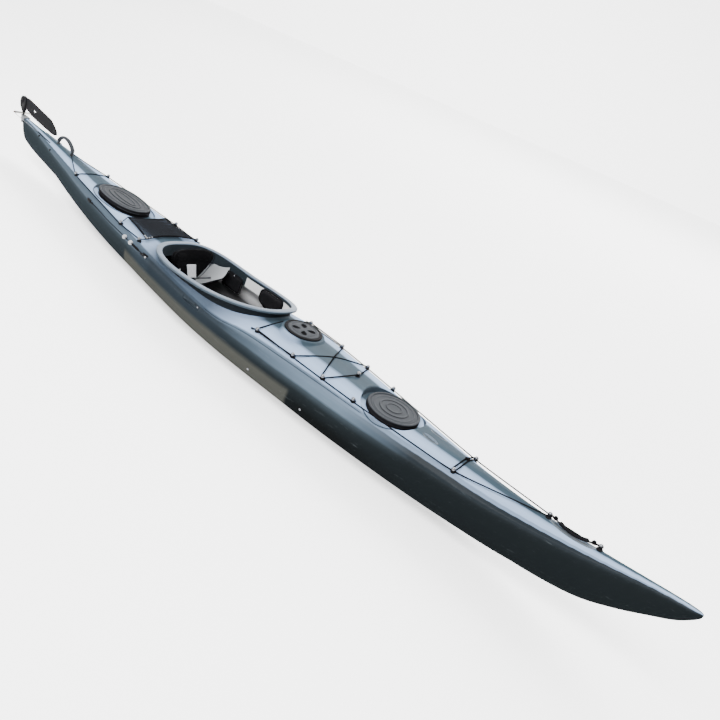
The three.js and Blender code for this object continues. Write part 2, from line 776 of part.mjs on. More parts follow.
function dayHatch() {
  const flangeFoot = bossTop + fitGap;
  const bore = dayHatchRadius - dayRingWidth;
  const collarFoot = bossTop - dayCollarDepth;
  const ledgeTop = dayHatchTop - dayLidBossDepth;
  const ring = turned([
    [bore, dayHatchTop - 1],
    [bore, ledgeTop],
    [bore - dayLedgeWidth, ledgeTop],
    [bore - dayLedgeWidth, ledgeTop - dayLedgeThickness],
    [bore, ledgeTop - 2 * dayLedgeThickness],
    [bore, collarFoot],
    [bore + dayCollarWall, collarFoot],
    [bore + dayCollarWall, flangeFoot],
    [dayHatchRadius, flangeFoot],
    [dayHatchRadius, dayHatchTop - 3],
    [dayHatchRadius - 2, dayHatchTop - 1],
    [bore, dayHatchTop - 1],
  ]);
  addPart("day_hatch_ring", ring.translate(dayHatchX, 0, 0), "blackPlastic");
  const flangeThickness = dayRingThickness;
  const sealTop = dayHatchTop - flangeThickness - fitGap;
  const bossRadius = bore - dayLedgeWidth - 2 * fitGap;
  const seal = turned([
    [bossRadius + fitGap, sealTop],
    [bossRadius + fitGap, ledgeTop + fitGap],
    [bore - 2 * fitGap, ledgeTop + fitGap],
    [bore - 2 * fitGap, sealTop],
    [bossRadius + fitGap, sealTop],
  ]);
  addPart("day_hatch_seal", seal.translate(dayHatchX, 0, 0), "blackRubber");
  const lidBody = turned([
    [0, ledgeTop - dayLedgeThickness],
    [bossRadius, ledgeTop - dayLedgeThickness],
    [bossRadius, dayHatchTop - flangeThickness],
    [bore - fitGap, dayHatchTop - flangeThickness],
    [bore - fitGap, dayHatchTop - 2],
    [bore - 3, dayHatchTop],
    [0, dayHatchTop],
  ]);
  let lid = solidFrom(lidBody);
  for (let i = 0; i < 4; i++) {
    const pocket = prism(
      superellipse(fingerPocketCircle, 0, fingerPocketRadius * 1.3, fingerPocketRadius, 2, 16),
      dayHatchTop - fingerPocketDepth,
      dayHatchTop + cutOverrun,
    ).rotateZ((Math.PI / 2) * (i + 1 / 2));
    lid = lid.subtract(solidFrom(pocket));
  }
  addPart("day_hatch_lid", geometryFrom(lid).translate(dayHatchX, 0, 0), "blackPlastic");
  const neck = bore + dayCollarWall + fitGap;
  const podTop = collarFoot + dayCollarWall * 2;
  const podFoot = collarFoot - podDepth;
  const pod = turned([
    [0, podFoot],
    [neck, podFoot],
    [neck + podSwell, podFoot + podSwell],
    [neck + podSwell, collarFoot - podSwell],
    [neck + podWall, collarFoot],
    [neck + podWall, podTop],
    [neck, podTop],
    [neck, collarFoot - podWall],
    [neck + podSwell - podWall, collarFoot - podSwell - podWall],
    [neck + podSwell - podWall, podFoot + podSwell + podWall],
    [neck - podWall, podFoot + podWall],
    [0, podFoot + podWall],
  ]);
  addPart("day_hatch_pod", pod.translate(dayHatchX, 0, 0), "greyPlastic");
}

function bulkhead(name, x) {
  const block = box(x, 0, hullHeight / 2, bulkheadThickness, hullBeam, hullHeight);
  addPart(name, solidFrom(block).intersect(hullInsideClear), "foam");
}

// Seat, backrest and braces

const seatBase = hullWall + fitGap + seatShell;
const seatFlatShare = 0.6;
const seatTaperShare = 0.12;
const seatFloorRiseShare = 0.2;
const seatRisePower = 1.6;

// The seat's upper face: it follows the hull's floor, then its wings turn up at the sides
function seatPoint(along, out) {
  const side = Math.abs(out);
  const turn = (Math.max(side - seatFlatShare, 0) / (1 - seatFlatShare)) * (Math.PI / 2);
  const flat = Math.min(side, seatFlatShare) / seatFlatShare;
  const width = seatHalfWidth * (1 - seatTaperShare * along);
  const wing = seatWingRear + (seatWingFront - seatWingRear) * along;
  const y = width * (0.8 * flat + 0.2 * Math.sin(turn));
  return new THREE.Vector3(
    seatRearX + seatLength * along,
    Math.sign(out) * y,
    seatBase + seatFloorRiseShare * y + seatFrontRise * along ** seatRisePower + wing * (1 - Math.cos(turn)),
  );
}

function seatShape(grow) {
  const alongSteps = 7;
  const outSteps = 16;
  const rows = [];
  const unders = [];
  for (let i = 0; i <= alongSteps; i++) {
    const points = Array.from({ length: outSteps + 1 }, (_, k) => seatPoint(i / alongSteps, (2 * k) / outSteps - 1));
    const moved = (share) =>
      points.map((point, k) => {
        const next = points[Math.min(k + 1, outSteps)];
        const before = points[Math.max(k - 1, 0)];
        const way = new THREE.Vector3(0, next.z - before.z, before.y - next.y).normalize();
        return point.clone().addScaledVector(way, share);
      });
    rows.push(moved(-grow));
    unders.push(moved(seatShell + grow));
  }
  return sheet(rows, unders);
}

function seatPan() {
  addPart("seat_pan", seatShape(0), "greyPlastic");
}

// A crowned pad between z = 0 and its height, with sides drawn in
function pad(length, width, height, squareness, faces = 24) {
  const levelShares = [
    [0.9, 0],
    [1, 0.3],
    [0.98, 0.62],
    [0.88, 0.86],
    [0.62, 0.96],
  ];
  const rings = levelShares.map(([spread, level]) =>
    superellipse(0, 0, (spread * length) / 2, (spread * width) / 2, squareness, faces).map(
      (p) => new THREE.Vector3(p.x, p.y, level * height),
    ),
  );
  return loft(rings);
}

// How far out the seat's wing stands at a height
function wingAt(along, height) {
  const shares = Array.from({ length: 41 }, (_, i) => seatFlatShare + ((1 - seatFlatShare) * i) / 40);
  return shares.map((share) => seatPoint(along, share)).find((point) => point.z >= height).y;
}

function backrest() {
  const cushion = pad(backrestHeight, backrestWidth, backrestDepth, 3.2, 28).rotateY(-Math.PI / 2);
  const position = cushion.attributes.position;
  for (let i = 0; i < position.count; i++) {
    const level = position.getZ(i) / backrestHeight + 1 / 2;
    const out = position.getY(i) * (backrestFootShare + (1 - backrestFootShare) * level);
    const wrap = backrestWrap * (out / (backrestWidth / 2)) ** 2;
    position.setXYZ(i, wrap - position.getX(i) - backrestDepth / 2, out, position.getZ(i));
  }
  cushion.translate(0, 0, backrestHeight / 2);
  cushion.rotateY(THREE.MathUtils.degToRad(-backrestLean));
  cushion.translate(backrestX, 0, backrestBase);
  const rodZ = backrestBase + backrestDepth / 2;
  const reach = wingAt((backrestX - seatRearX) / seatLength, rodZ - backrestRodRadius) - fitGap;
  const rod = (radius) =>
    solidFrom(new THREE.CylinderGeometry(radius, radius, 2 * reach, rodFaces).translate(backrestX, 0, rodZ));
  addPart("backrest", solidFrom(cushion).subtract(rod(backrestRodRadius + fitGap)), "padCloth");
  addPart("backrest_rod", rod(backrestRodRadius).subtract(solidFrom(seatShape(fitGap))), "alloy");
}

// A pad on a plate hung inside the coaming, between two turns round it and two drops below its rim
function sidePad(sign, name, [start, end], [top, bottom], depth) {
  const face = lipReach + 2 * fitGap;
  const turns = coamingTurns(coamingFaces).filter((turn) => turn > start && turn < end);
  const rings = turns.map((turn, i) => {
    const bulge = Math.sin((Math.PI * (i + 1 / 2)) / turns.length);
    const reach = sidePlate + (depth - sidePlate) * bulge;
    const foot = top + (bottom - top) * (3 / 4 + bulge / 4);
    const tall = foot - top;
    return coamingSection(turn, [
      [face, top],
      [face + sidePlate, top],
      [face + reach, top + tall * 0.25],
      [face + reach, top + tall * 0.8],
      [face + sidePlate, foot],
      [face, foot],
    ]);
  });
  const shape = loft(rings);
  addPart(name, sign > 0 ? shape : mirrored(shape), "foam");
}

// Foot rails, their bolts and the sliding pedals

// Where a rail's back lies: its lower edge touches the hull's inner side at both ends
function railSeat() {
  const [aft, fore] = [-1, 1].map((end) => {
    const { point, normal } = sideAt(railX + (end * railLength) / 2, railZ - railHeight / 2, 1);
    return point.y - (hullWall + fitGap) / normal.y;
  });
  return { back: (aft + fore) / 2, turn: Math.atan2(aft - fore, railLength) };
}

// Places a shape made in a rail's own frame: x along the rail, y inboard from its back, z up
function onRail(shape, sign) {
  const { back, turn } = railSeat();
  shape.rotateZ(turn).scale(1, -sign, 1);
  return shape.translate(railX, sign * back, railZ);
}

// How far a rail's bolts reach outboard of its back
function boltReach(end, sign) {
  const x = (end * boltSpacing) / 2;
  const { back, turn } = railSeat();
  return sideAt(railX + x, railZ, sign).point.y * sign - (back - x * Math.tan(turn));
}

function railBolts(sign, grow) {
  return [-1, 1].map((end) => {
    const shank = new THREE.CylinderGeometry(boltShankRadius + grow, boltShankRadius + grow, cutOverrun, smallFaces);
    return onRail(shank.translate((end * boltSpacing) / 2, -cutOverrun / 2 + railDepth / 2, 0), sign);
  });
}

function footRail(sign, name) {
  const bar = solidFrom(onRail(box(0, railDepth / 2, 0, railLength, railDepth, railHeight), sign));
  const bolts = [-1, 1].flatMap((end) => {
    const x = (end * boltSpacing) / 2;
    const reach = boltReach(end, sign) + fitGap;
    const shank = new THREE.CylinderGeometry(boltShankRadius, boltShankRadius, reach + railDepth / 2, smallFaces);
    const head = turned(
      [
        [0, -boltHeadHeight / 2],
        [boltHeadRadius, -boltHeadHeight / 2],
        [boltHeadRadius, boltHeadHeight / 2],
        [boltHeadRadius / 2, boltHeadHeight],
        [0, boltHeadHeight],
      ],
      smallFaces,
    );
    return [
      solidFrom(onRail(shank.translate(x, (railDepth / 2 - reach) / 2, 0), sign)),
      solidFrom(onRail(head.rotateX(Math.PI / 2).translate(x, -reach, 0), sign)).subtract(hullClear),
    ];
  });
  addPart(name, unite(bar.intersect(hullInsideClear), ...bolts), "alloy");
}

function footPedal(sign, name) {
  const gap = 2 * fitGap;
  const clawDepth = 0.4 * railDepth;
  const outerHeight = railHeight + 2 * (gap + pedalCarriageWall);
  const face = railDepth + gap;
  const carriage = box(0, face - clawDepth + (clawDepth + pedalStandIn) / 2, 0, pedalCarriage, clawDepth + pedalStandIn, outerHeight);
  const slot = box(0, 0, 0, pedalCarriage + cutOverrun, 2 * face, railHeight + 2 * gap);
  const plateX = (pedalPlate - pedalCarriage) / 2;
  const plateY = face + pedalStandIn + pedalWidth / 2 - pedalCarriageWall;
  const plateZ = pedalHeight / 5;
  const plate = box(plateX, plateY, plateZ, pedalPlate, pedalWidth, pedalHeight);
  const ribs = [-1, 0, 1].map((row) =>
    box(plateX - pedalPlate / 2, plateY, plateZ + (row * pedalHeight) / 4, pedalPlate / 2, 0.8 * pedalWidth, pedalPlate / 2),
  );
  const gusset = box(0, face + pedalStandIn + pedalWidth / 8, 0, pedalCarriage, pedalWidth / 4 + pedalCarriageWall, outerHeight / 2);
  const pedal = unite(solidFrom(carriage).subtract(solidFrom(slot)), plate, gusset, ...ribs);
  addPart(name, onRail(geometryFrom(pedal), sign), "blackPlastic");
}

// Rudder

// A plate standing in the XZ plane, centred on Y, from [x, z] pairs
function uprightPlate(outline, thickness) {
  const shape = new THREE.Shape(outline.map(([x, z]) => new THREE.Vector2(x, z)));
  return new THREE.ExtrudeGeometry(shape, { depth: thickness, bevelEnabled: false })
    .rotateX(Math.PI / 2)
    .translate(0, thickness / 2, 0);
}

function roundUpright(x, z, radius, thickness, faces = 20) {
  return uprightPlate(
    circle(x, z, radius, faces).map((p) => [p.x, p.y]),
    thickness,
  );
}

function standingCylinder(x, z, radius, height, faces = 16) {
  return new THREE.CylinderGeometry(radius, radius, height, faces)
    .rotateX(Math.PI / 2)
    .translate(x, 0, z + height / 2);
}

function rudderBracket() {
  const deck = deckAt(-halfLength + bracketLength / 2, 0).point.z;
  const tube = standingCylinder(rudderPinX, rudderTubeFoot, rudderTube, rudderTubeHeight);
  const saddle = box(
    -halfLength + bracketLength / 2 - rudderTube,
    0,
    deck - bracketHeight / 4,
    bracketLength,
    bracketWidth,
    bracketHeight,
  );
  const cheeks = box(
    -halfLength + bracketLength / 4,
    0,
    deck - bracketWidth / 2,
    bracketLength / 2 + rudderTube,
    bracketWidth,
    bracketWidth * 0.8,
  );
  const bore = standingCylinder(
    rudderPinX,
    rudderTubeFoot - cutOverrun,
    rudderPinRadius + fitGap,
    rudderTubeHeight + 2 * cutOverrun,
  );
  const cap = solidFrom(saddle).add(solidFrom(cheeks)).subtract(hullClear);
  const trim = box(
    rudderPinX - rudderTube - cutOverrun / 2,
    0,
    deck,
    cutOverrun,
    2 * bracketWidth,
    4 * bracketWidth,
  );
  const body = cap.subtract(solidFrom(trim)).add(solidFrom(tube)).subtract(solidFrom(bore));
  const lid = box(rudderPinX, 0, hullHeight, cutOverrun * 2, cutOverrun, 2 * (hullHeight - rudderHeadFoot + fitGap));
  addPart("rudder_bracket", body.subtract(solidFrom(lid)), "alloy");
}

function rudderPin() {
  const shank = standingCylinder(rudderPinX, rudderTubeFoot - 6, rudderPinRadius, pinTop - rudderTubeFoot + 6);
  const head = standingCylinder(rudderPinX, rudderTubeFoot - 6, rudderPinRadius + 3, 6 - fitGap);
  addPart("rudder_pin", unite(shank, head), "steel");
}

const pinTop = rudderPivotZ - bladeRoot - 20;

function rudderHead() {
  const post = standingCylinder(rudderPinX, rudderHeadFoot, rudderTube + 2, pinTop + rudderCheek - rudderHeadFoot);
  const cheekWidth = bladeThickness + 2 * fitGap + 2 * rudderCheek;
  const cheeks = uprightPlate(
    [
      [rudderPinX + rudderTube, rudderHeadFoot + 14],
      [rudderPinX + rudderTube + 14, rudderPivotZ - 10],
      [rudderPinX + rudderTube + 8, rudderPivotZ + 34],
      [rudderPivotX - 6, rudderPivotZ + 38],
      [rudderPivotX - 24, rudderPivotZ + 18],
      [rudderPivotX - 28, rudderPivotZ - 8],
      [rudderPivotX - 18, rudderPivotZ - 34],
      [rudderPinX - rudderTube, rudderHeadFoot + 14],
    ],
    cheekWidth,
  );
  const slotHeight = hullHeight;
  const slotFoot = pinTop + 2 * fitGap + rudderCheek;
  const slot = box(rudderPivotX, 0, slotFoot + slotHeight / 2, hullHeight, bladeThickness + 2 * fitGap, slotHeight);
  const aftSlot = box(
    rudderPinX - rudderTube - 3 - cutOverrun,
    0,
    rudderHeadFoot + slotHeight / 2,
    2 * cutOverrun,
    bladeThickness + 2 * fitGap,
    slotHeight,
  );
  const yoke = box(rudderPinX, 0, rudderHeadFoot + yokeHeight / 2, yokeBar * 2, 2 * yokeHalfSpan, yokeHeight);
  const bore = standingCylinder(
    rudderPinX,
    rudderHeadFoot - cutOverrun,
    rudderPinRadius + fitGap,
    pinTop + fitGap - rudderHeadFoot + cutOverrun,
  );
  const cableHoles = [1, -1].map((sign) =>
    standingCylinder(rudderPinX, rudderHeadFoot - cutOverrun, cableRadius + 1, 2 * cutOverrun, 8).translate(
      0,
      sign * (yokeHalfSpan - yokeBar),
      0,
    ),
  );
  let head = solidFrom(post).add(solidFrom(cheeks));
  [slot, aftSlot].forEach((cut) => {
    head = head.subtract(solidFrom(cut));
  });
  head = head.add(solidFrom(yoke));
  [bore, ...cableHoles].forEach((cut) => {
    head = head.subtract(solidFrom(cut));
  });
  const bolt = roundUpright(rudderPivotX, rudderPivotZ, bladeBoltRadius, cheekWidth, 12);
  const nuts = roundUpright(rudderPivotX, rudderPivotZ, bladeBoltRadius + 4, cheekWidth + 8, 6);
  const between = box(rudderPivotX, 0, rudderPivotZ, cutOverrun, bladeThickness + 2 * fitGap, cutOverrun);
  head = head.add(solidFrom(nuts).subtract(solidFrom(between))).add(solidFrom(bolt));
  addPart("rudder_head", head, "blackPlastic");
}

function rudderBlade() {
  const root = circle(rudderPivotX, rudderPivotZ, bladeRoot, 24)
    .filter((p) => p.x < rudderPivotX + 1)
    .map((p) => [p.x, p.y]);
  const outline = [
    ...root,
    [rudderPivotX + 30, rudderPivotZ - 24],
    [rudderPivotX + 60, rudderPivotZ - 34],
    [rudderPivotX + 150, rudderPivotZ - 48],
    [rudderPivotX + 300, rudderPivotZ - 60],
    [rudderPivotX + 410, rudderPivotZ - 64],
    [rudderPivotX + 450, rudderPivotZ - 62],
    [rudderPivotX + 476, rudderPivotZ - 52],
    [rudderPivotX + 470, rudderPivotZ - 32],
    [rudderPivotX + 435, rudderPivotZ - 8],
    [rudderPivotX + 380, rudderPivotZ + 16],
    [rudderPivotX + 220, rudderPivotZ + 30],
    [rudderPivotX + 74, rudderPivotZ + 42],
    [rudderPivotX + 50, rudderPivotZ + 40],
    [rudderPivotX + 28, rudderPivotZ + 30],
  ];
  const plate = uprightPlate(outline, bladeThickness);
  const hole = roundUpright(rudderPivotX, rudderPivotZ, bladeBoltRadius + fitGap, 2 * bladeThickness, 12);
  const slot = uprightPlate(
    superellipse(rudderPivotX + 166, rudderPivotZ - 10, 20, 7, 2, 14).map((p) => [p.x, p.y]),
    2 * bladeThickness,
  );
  let blade = solidFrom(plate).subtract(solidFrom(hole)).subtract(solidFrom(slot));
  // The blade thins to its edges: two shallow wedges come off each face
  [1, -1].forEach((sign) => {
    const wedge = box(rudderPivotX + 330, sign * (bladeThickness / 2 + 5), rudderPivotZ - 78, 360, 10, 40)
      .translate(-(rudderPivotX + 330), -sign * (bladeThickness / 2), -(rudderPivotZ - 58))
      .rotateX(sign * 0.12)
      .translate(rudderPivotX + 330, sign * (bladeThickness / 2), rudderPivotZ - 58);
    blade = blade.subtract(solidFrom(wedge));
  });
  addPart("rudder_blade", blade, "blackPlastic");
}

// Deck fittings and the lines through them: [along, out] of each, the fore ones first

const fittingPlaces = {
  a: [288, 193],
  b: [536, 181],
  c: [732, 168],
  d: [922, 152],
  e: [1474, 92],
  aft_front: [-736, 200],
  aft_middle: [-941, 190],
  aft_rear: [-1592, 108],
};
const centreFittingX = 800;
const neckTop = fittingBaseHeight + fittingNeckHeight;
const lineLift = fittingBaseHeight + fitGap + lineRadius;
const bungeeLift = lineLift + lineRadius + 2 * fitGap + bungeeRadius;
const restGap = 1;
const crossingX = fittingPlaces.b[0] + (fittingPlaces.c[0] - fittingPlaces.b[0]) * (181 / (181 + 168));
const bowFittings = [handleX - handleHalfSpan, handleX + handleHalfSpan];
const sternFeet = [sternHandleX - sternHandleHalfSpan, sternHandleX + sternHandleHalfSpan];

function fittingShape() {
  return turned(
    [
      [0, -fittingBaseHeight],
      [fittingBase, -fittingBaseHeight],
      [fittingBase, fittingBaseHeight * 0.7],
      [fittingNeck, fittingBaseHeight],
      [fittingNeck, neckTop],
      [fittingHead, neckTop + fittingHead * 0.5],
      [fittingHead * 0.6, neckTop + fittingHead * 1.5],
      [0, neckTop + fittingHead * 1.5],
    ],
    smallFaces,
  );
}

// A fitting whose foot is shaped to the deck that it stands on
function fittingSolid(x, y) {
  return solidFrom(standOn(fittingShape(), deckAt(x, y), fitGap)).subtract(hullClear);
}

// A point beside a fitting's neck: its place moved over the deck, at a height up the neck
function besideNeck(x, y, moveX, moveY, lift) {
  const { point, normal } = deckAt(x, y);
  const move = new THREE.Vector3(moveX, moveY, 0);
  move.addScaledVector(normal, -move.dot(normal)).setLength(Math.hypot(moveX, moveY));
  return point.addScaledVector(normal, lift + fitGap).add(move);
}

// Points of a taut cord round the outside of its bend at a neck, between the stops before and after it
function roundNeck(before, stop, after, radius, lift) {
  const [x, y] = stop;
  const stand = fittingNeck + radius + restGap;
  const arriving = new THREE.Vector2(x - before[0], y - before[1]).normalize();
  const leaving = new THREE.Vector2(after[0] - x, after[1] - y).normalize();
  const outside = arriving.clone().sub(leaving).normalize();
  const square = (way) => {
    const side = new THREE.Vector2(-way.y, way.x);
    return side.dot(outside) < 0 ? side.negate() : side;
  };
  const [first, last] = [square(arriving), square(leaving)];
  const bend = Math.acos(THREE.MathUtils.clamp(first.dot(last), -1, 1));
  const steps = Math.round(bend / (Math.PI / 4));
  const lean = Math.sign(first.cross(outside) || 1);
  const ways = steps
    ? Array.from({ length: steps + 1 }, (_, i) =>
        first.clone().rotateAround(new THREE.Vector2(), (lean * bend * i) / steps),
      )
    : [outside];
  return ways.map((way) => besideNeck(x, y, way.x * stand, way.y * stand, lift));
}

// Points between two ends of a span: straight, or lifted on to the deck where the deck is higher
function spanPoints(from, to, radius, count) {
  const shares = Array.from({ length: count }, (_, i) => (i + 1) / (count + 1));
  if (from.y * to.y < 0) {
    const ridge = from.y / (from.y - to.y);
    const crowd = 1 / (2 * count + 2);
    shares.splice(0, count, ...shares.filter((share) => Math.abs(share - ridge) > crowd), ridge);
    shares.sort((one, other) => one - other);
  }
  return shares.map((share) => {
    const point = from.clone().lerp(to, share);
    const deck = deckAt(point.x, point.y);
    const rest = deck.point.z + (radius + restGap) / deck.normal.z;
    return point.setZ(Math.max(point.z, rest));
  });
}

// The route of a cord held by necks, as stops [along, out] with an optional height over the deck
function neckRoute(stops, radius, lift, closed, spacing = 150) {
  const at = (i) => stops[(i + stops.length) % stops.length];
  const groups = stops.map((stop, i) => {
    const ends = !closed && (i === 0 || i === stops.length - 1);
    if (stop[2]) return [besideNeck(stop[0], stop[1], 0, 0, stop[2])];
    if (ends) return [besideNeck(stop[0], stop[1], 0, 0, lift)];
    return roundNeck(at(i - 1), stop, at(i + 1), radius, lift);
  });
  return groups.flatMap((group, i) => {
    if (!closed && i === groups.length - 1) return group;
    const next = groups[(i + 1) % groups.length][0];
    const last = group[group.length - 1];
    const count = Math.floor(last.distanceTo(next) / spacing);
    return [...group, ...spanPoints(last, next, radius, count)];
  });
}

function knot(point, radius) {
  return new THREE.SphereGeometry(radius, smallFaces, 6).translate(point.x, point.y, point.z);
}

function mirrorStops(stops) {
  return stops.map(([x, y, lift]) => [x, -y, lift]).reverse();
}

function deckFittings() {
  const sides = [
    ["starboard", -1],
    ["port", 1],
  ];
  Object.entries(fittingPlaces).forEach(([letter, [x, y]]) => {
    sides.forEach(([side, sign]) => {
      addPart("deck_fitting_" + letter + "_" + side, fittingSolid(x, sign * y), "blackPlastic");
    });
  });
  addPart("deck_fitting_centre", fittingSolid(centreFittingX, 0), "blackPlastic");
  addPart("bow_fitting_aft", fittingSolid(bowFittings[0], 0), "blackPlastic");
  addPart("bow_fitting_fore", fittingSolid(bowFittings[1], 0), "blackPlastic");
}

function starboardStops(letters) {
  return letters.map((letter) => [fittingPlaces[letter][0], -fittingPlaces[letter][1]]);
}

function foreDeckLine() {
  const [aX, aY] = fittingPlaces.a;
  const end = [aX - 3 * fittingBase, -(aY + fittingNeck + lineRadius)];
  const starboard = [[...end, lineLift], ...starboardStops(["a", "b", "c", "d", "e"])];
  const route = neckRoute([...starboard, [bowFittings[0], 0], ...mirrorStops(starboard)], lineRadius, lineLift);
  const knots = [route[0], route[route.length - 1]].map((point) => knot(point, 2 * lineRadius));
  addPart("fore_deck_line", unite(cord(route, lineRadius, 1), ...knots), "cordBlack");
}

function foreBungee() {
  const [a, b, c] = starboardStops(["a", "b", "c"]);
  const port = ([x, y]) => [x, -y];
  const rise = 3 * bungeeRadius + 2 * restGap;
  const stops = [a, b, port(c), [centreFittingX, 0], c, [crossingX, 0, rise], port(b), port(a)];
  const route = neckRoute(stops, bungeeRadius, bungeeLift, true, 110);
  addPart("fore_bungee", cord(route, bungeeRadius, 1, true), "cordBlack");
}

function paddleBungee() {
  const [e] = starboardStops(["e"]);
  const route = neckRoute([e, [e[0], -e[1]]], bungeeRadius, bungeeLift, true, 60);
  const middle = deckAt(e[0], 0).point.z + bungeeRadius + restGap;
  const stand = 2 * (fittingNeck + bungeeRadius + fitGap) + 3 * bungeeRadius;
  const block = box(e[0], 0, middle + bungeeRadius / 2, stand, 4 * bungeeRadius, 3 * bungeeRadius - restGap);
  const solid = unite(cord(route, bungeeRadius, 2, true), block).subtract(hullClear);
  addPart("paddle_bungee", solid, "cordBlack");
}

function aftDeckLine() {
  const [frontX, frontY] = fittingPlaces.aft_front;
  const starboard = [
    [frontX + 2 * fittingBase, -(frontY + fittingNeck + lineRadius), lineLift],
    ...starboardStops(["aft_front", "aft_middle", "aft_rear"]),
  ];
  const stops = [...starboard, [sternFeet[1], 0], ...mirrorStops(starboard)];
  const route = neckRoute(stops, lineRadius, lineLift, false);
  const knots = [route[0], route[route.length - 1]].map((point) => knot(point, 2 * lineRadius));
  const [rearX, rearY] = fittingPlaces.aft_rear;
  const stand = fittingNeck + lineRadius + restGap;
  const beside = (sign, out) => besideNeck(rearX, sign * rearY, stand, sign * out * stand, lineLift);
  const clear = -fittingBase / fittingNeck;
  const inner = [beside(-1, clear), beside(1, clear)];
  const way = [beside(-1, 1), beside(-1, 0), inner[0]];
  const crossing = [...way, ...spanPoints(...inner, lineRadius, 3), inner[1], beside(1, 0), beside(1, 1)];
  addPart("aft_deck_line", unite(cord(route, lineRadius, 1), cord(crossing, lineRadius, 1), ...knots), "cordBlack");
}

// Handles

// A cord's eye round a neck
function eye(x, y, radius, lift) {
  const stand = fittingNeck + radius + restGap;
  const points = Array.from({ length: 7 }, (_, i) => {
    const turn = (2 * Math.PI * i) / 7;
    return besideNeck(x, y, stand * Math.cos(turn), stand * Math.sin(turn), lift);
  });
  return cord(points, radius, 1, true);
}

function bowHandle() {
  const slope = THREE.MathUtils.degToRad(handleSlope);
  const lift = lineLift + lineRadius + fitGap + strapRadius;
  const stand = fittingNeck + strapRadius + restGap;
  const [aftX, foreX] = bowFittings;
  const aft = besideNeck(aftX, 0, stand, 0, lift);
  const fore = besideNeck(foreX, 0, -stand, 0, lift);
  const middle = aft.clone().lerp(fore, 1 / 2);
  middle.z -= scoopRise + gripRadius / 2;
  const along = fore.clone().sub(aft).normalize();
  const gripEnd = (end) => middle.clone().addScaledVector(along, (end * gripLength) / 2);
  const route = [aft, gripEnd(-1.04), gripEnd(-0.9), gripEnd(-0.4), gripEnd(0.4), gripEnd(0.9), gripEnd(1.04), fore];
  const eyes = bowFittings.map((x) => eye(x, 0, strapRadius, lift));
  addPart("bow_handle_cord", unite(cord(route, strapRadius, 2), ...eyes), "cordBlack");
  const half = gripLength / 2;
  const bore = strapRadius + 3 * fitGap;
  const profile = [
    [bore, -half],
    [gripRadius * 0.8, -half],
    [gripRadius, -half * 0.9],
    [gripRadius * 0.92, 0],
    [gripRadius, half * 0.9],
    [gripRadius * 0.8, half],
    [bore, half],
    [bore, -half],
  ];
  const grip = turned(profile, 12).rotateY(Math.PI / 2).rotateY(slope);
  addPart("bow_handle_grip", grip.translate(middle.x, middle.y, middle.z), "blackRubber");
}

function sternHandle() {
  const feet = sternFeet.map((x) => fittingSolid(x, 0));
  const [aft, fore] = sternFeet.map((x) => deckAt(x, 0).point.clone());
  const head = neckTop + fittingHead;
  const shares = [
    [0, 0],
    [0.05, 0.35],
    [0.22, 0.82],
    [0.42, 1],
    [0.62, 0.94],
    [0.84, 0.6],
    [0.97, 0.2],
    [1, 0],
  ];
  const points = shares.map(([along, rise]) => {
    const point = aft.clone().lerp(fore, along);
    return point.setZ(point.z + head + rise * (sternHandleRise - fittingHead));
  });
  const loop = cord(points, sternHandleRadius, 2, false, across);
  addPart("stern_handle", unite(...feet, loop), "blackRubber");
}

// Deck net: a flat net stretched over the aft deck, with a rope-like border

function netPoint(u, v) {
  const rear = netRearX + netSag * (1 - v * v);
  const front = netFrontX - netSag * (1 - v * v);
  const half = netRearHalfWidth + (netFrontHalfWidth - netRearHalfWidth) * u;
  const drawn = 1 - netSideDrawShare * Math.sin(Math.PI * u);
  return new THREE.Vector2(rear + (front - rear) * u, v * half * drawn);
}

// A cell's four corners, and the corners of its gap
function netCell(i, k) {
  const corner = (di, dk) => netPoint((i + di) / netGapsAlong, (2 * (k + dk)) / netGapsAcross - 1);
  const outer = [corner(0, 0), corner(0, 1), corner(1, 1), corner(1, 0)];
  const middle = outer.reduce((sum, p) => sum.add(p), new THREE.Vector2()).multiplyScalar(1 / 4);
  const inner = outer.map((p) => {
    const way = p.clone().sub(middle);
    return middle.clone().add(way.setLength(way.length() - netStrand * Math.SQRT1_2));
  });
  const open = [i === 0, k === netGapsAcross - 1, i === netGapsAlong - 1, k === 0];
  const thick = open.map((side, m) => (side || open[(m + 3) % 4] ? netBorderThickness : netThickness) / 2);
  return { outer, inner, open, thick };
}

// The web and its border: every cell is a frame round its gap, and the outer frames have a thick strip outside
function netWeb() {
  const points = [];
  const quad = (a, b, c, d) => points.push(a, b, c, a, c, d);
  const raised = (p, rise) => new THREE.Vector3(p.x, p.y, netHeight(p.x) + rise);
  const onRim = (p) => netCentre.clone().lerp(p, 1 + netBorder / p.distanceTo(netCentre));
  for (let i = 0; i < netGapsAlong; i++) {
    for (let k = 0; k < netGapsAcross; k++) {
      const { outer, inner, open, thick } = netCell(i, k);
      for (let m = 0; m < 4; m++) {
        const n = (m + 1) % 4;
        const frame = [
          [outer[m], thick[m]],
          [outer[n], thick[n]],
          [inner[n], netThickness / 2],
          [inner[m], netThickness / 2],
        ];
        const [topA, topB, topC, topD] = frame.map(([p, rise]) => raised(p, rise));
        const [lowA, lowB, lowC, lowD] = frame.map(([p, rise]) => raised(p, -rise));
        quad(topA, topD, topC, topB);
        quad(lowA, lowB, lowC, lowD);
        quad(topC, topD, lowD, lowC);
        if (!open[m]) continue;
        const [rimTopA, rimTopB] = [outer[m], outer[n]].map((p) => raised(onRim(p), netBorderThickness / 2));
        const [rimLowA, rimLowB] = [outer[m], outer[n]].map((p) => raised(onRim(p), -netBorderThickness / 2));
        quad(topA, topB, rimTopB, rimTopA);
        quad(lowA, rimLowA, rimLowB, lowB);
        quad(rimTopA, rimTopB, rimLowB, rimLowA);
      }
    }
  }
  return new THREE.BufferGeometry().setFromPoints(points);
}

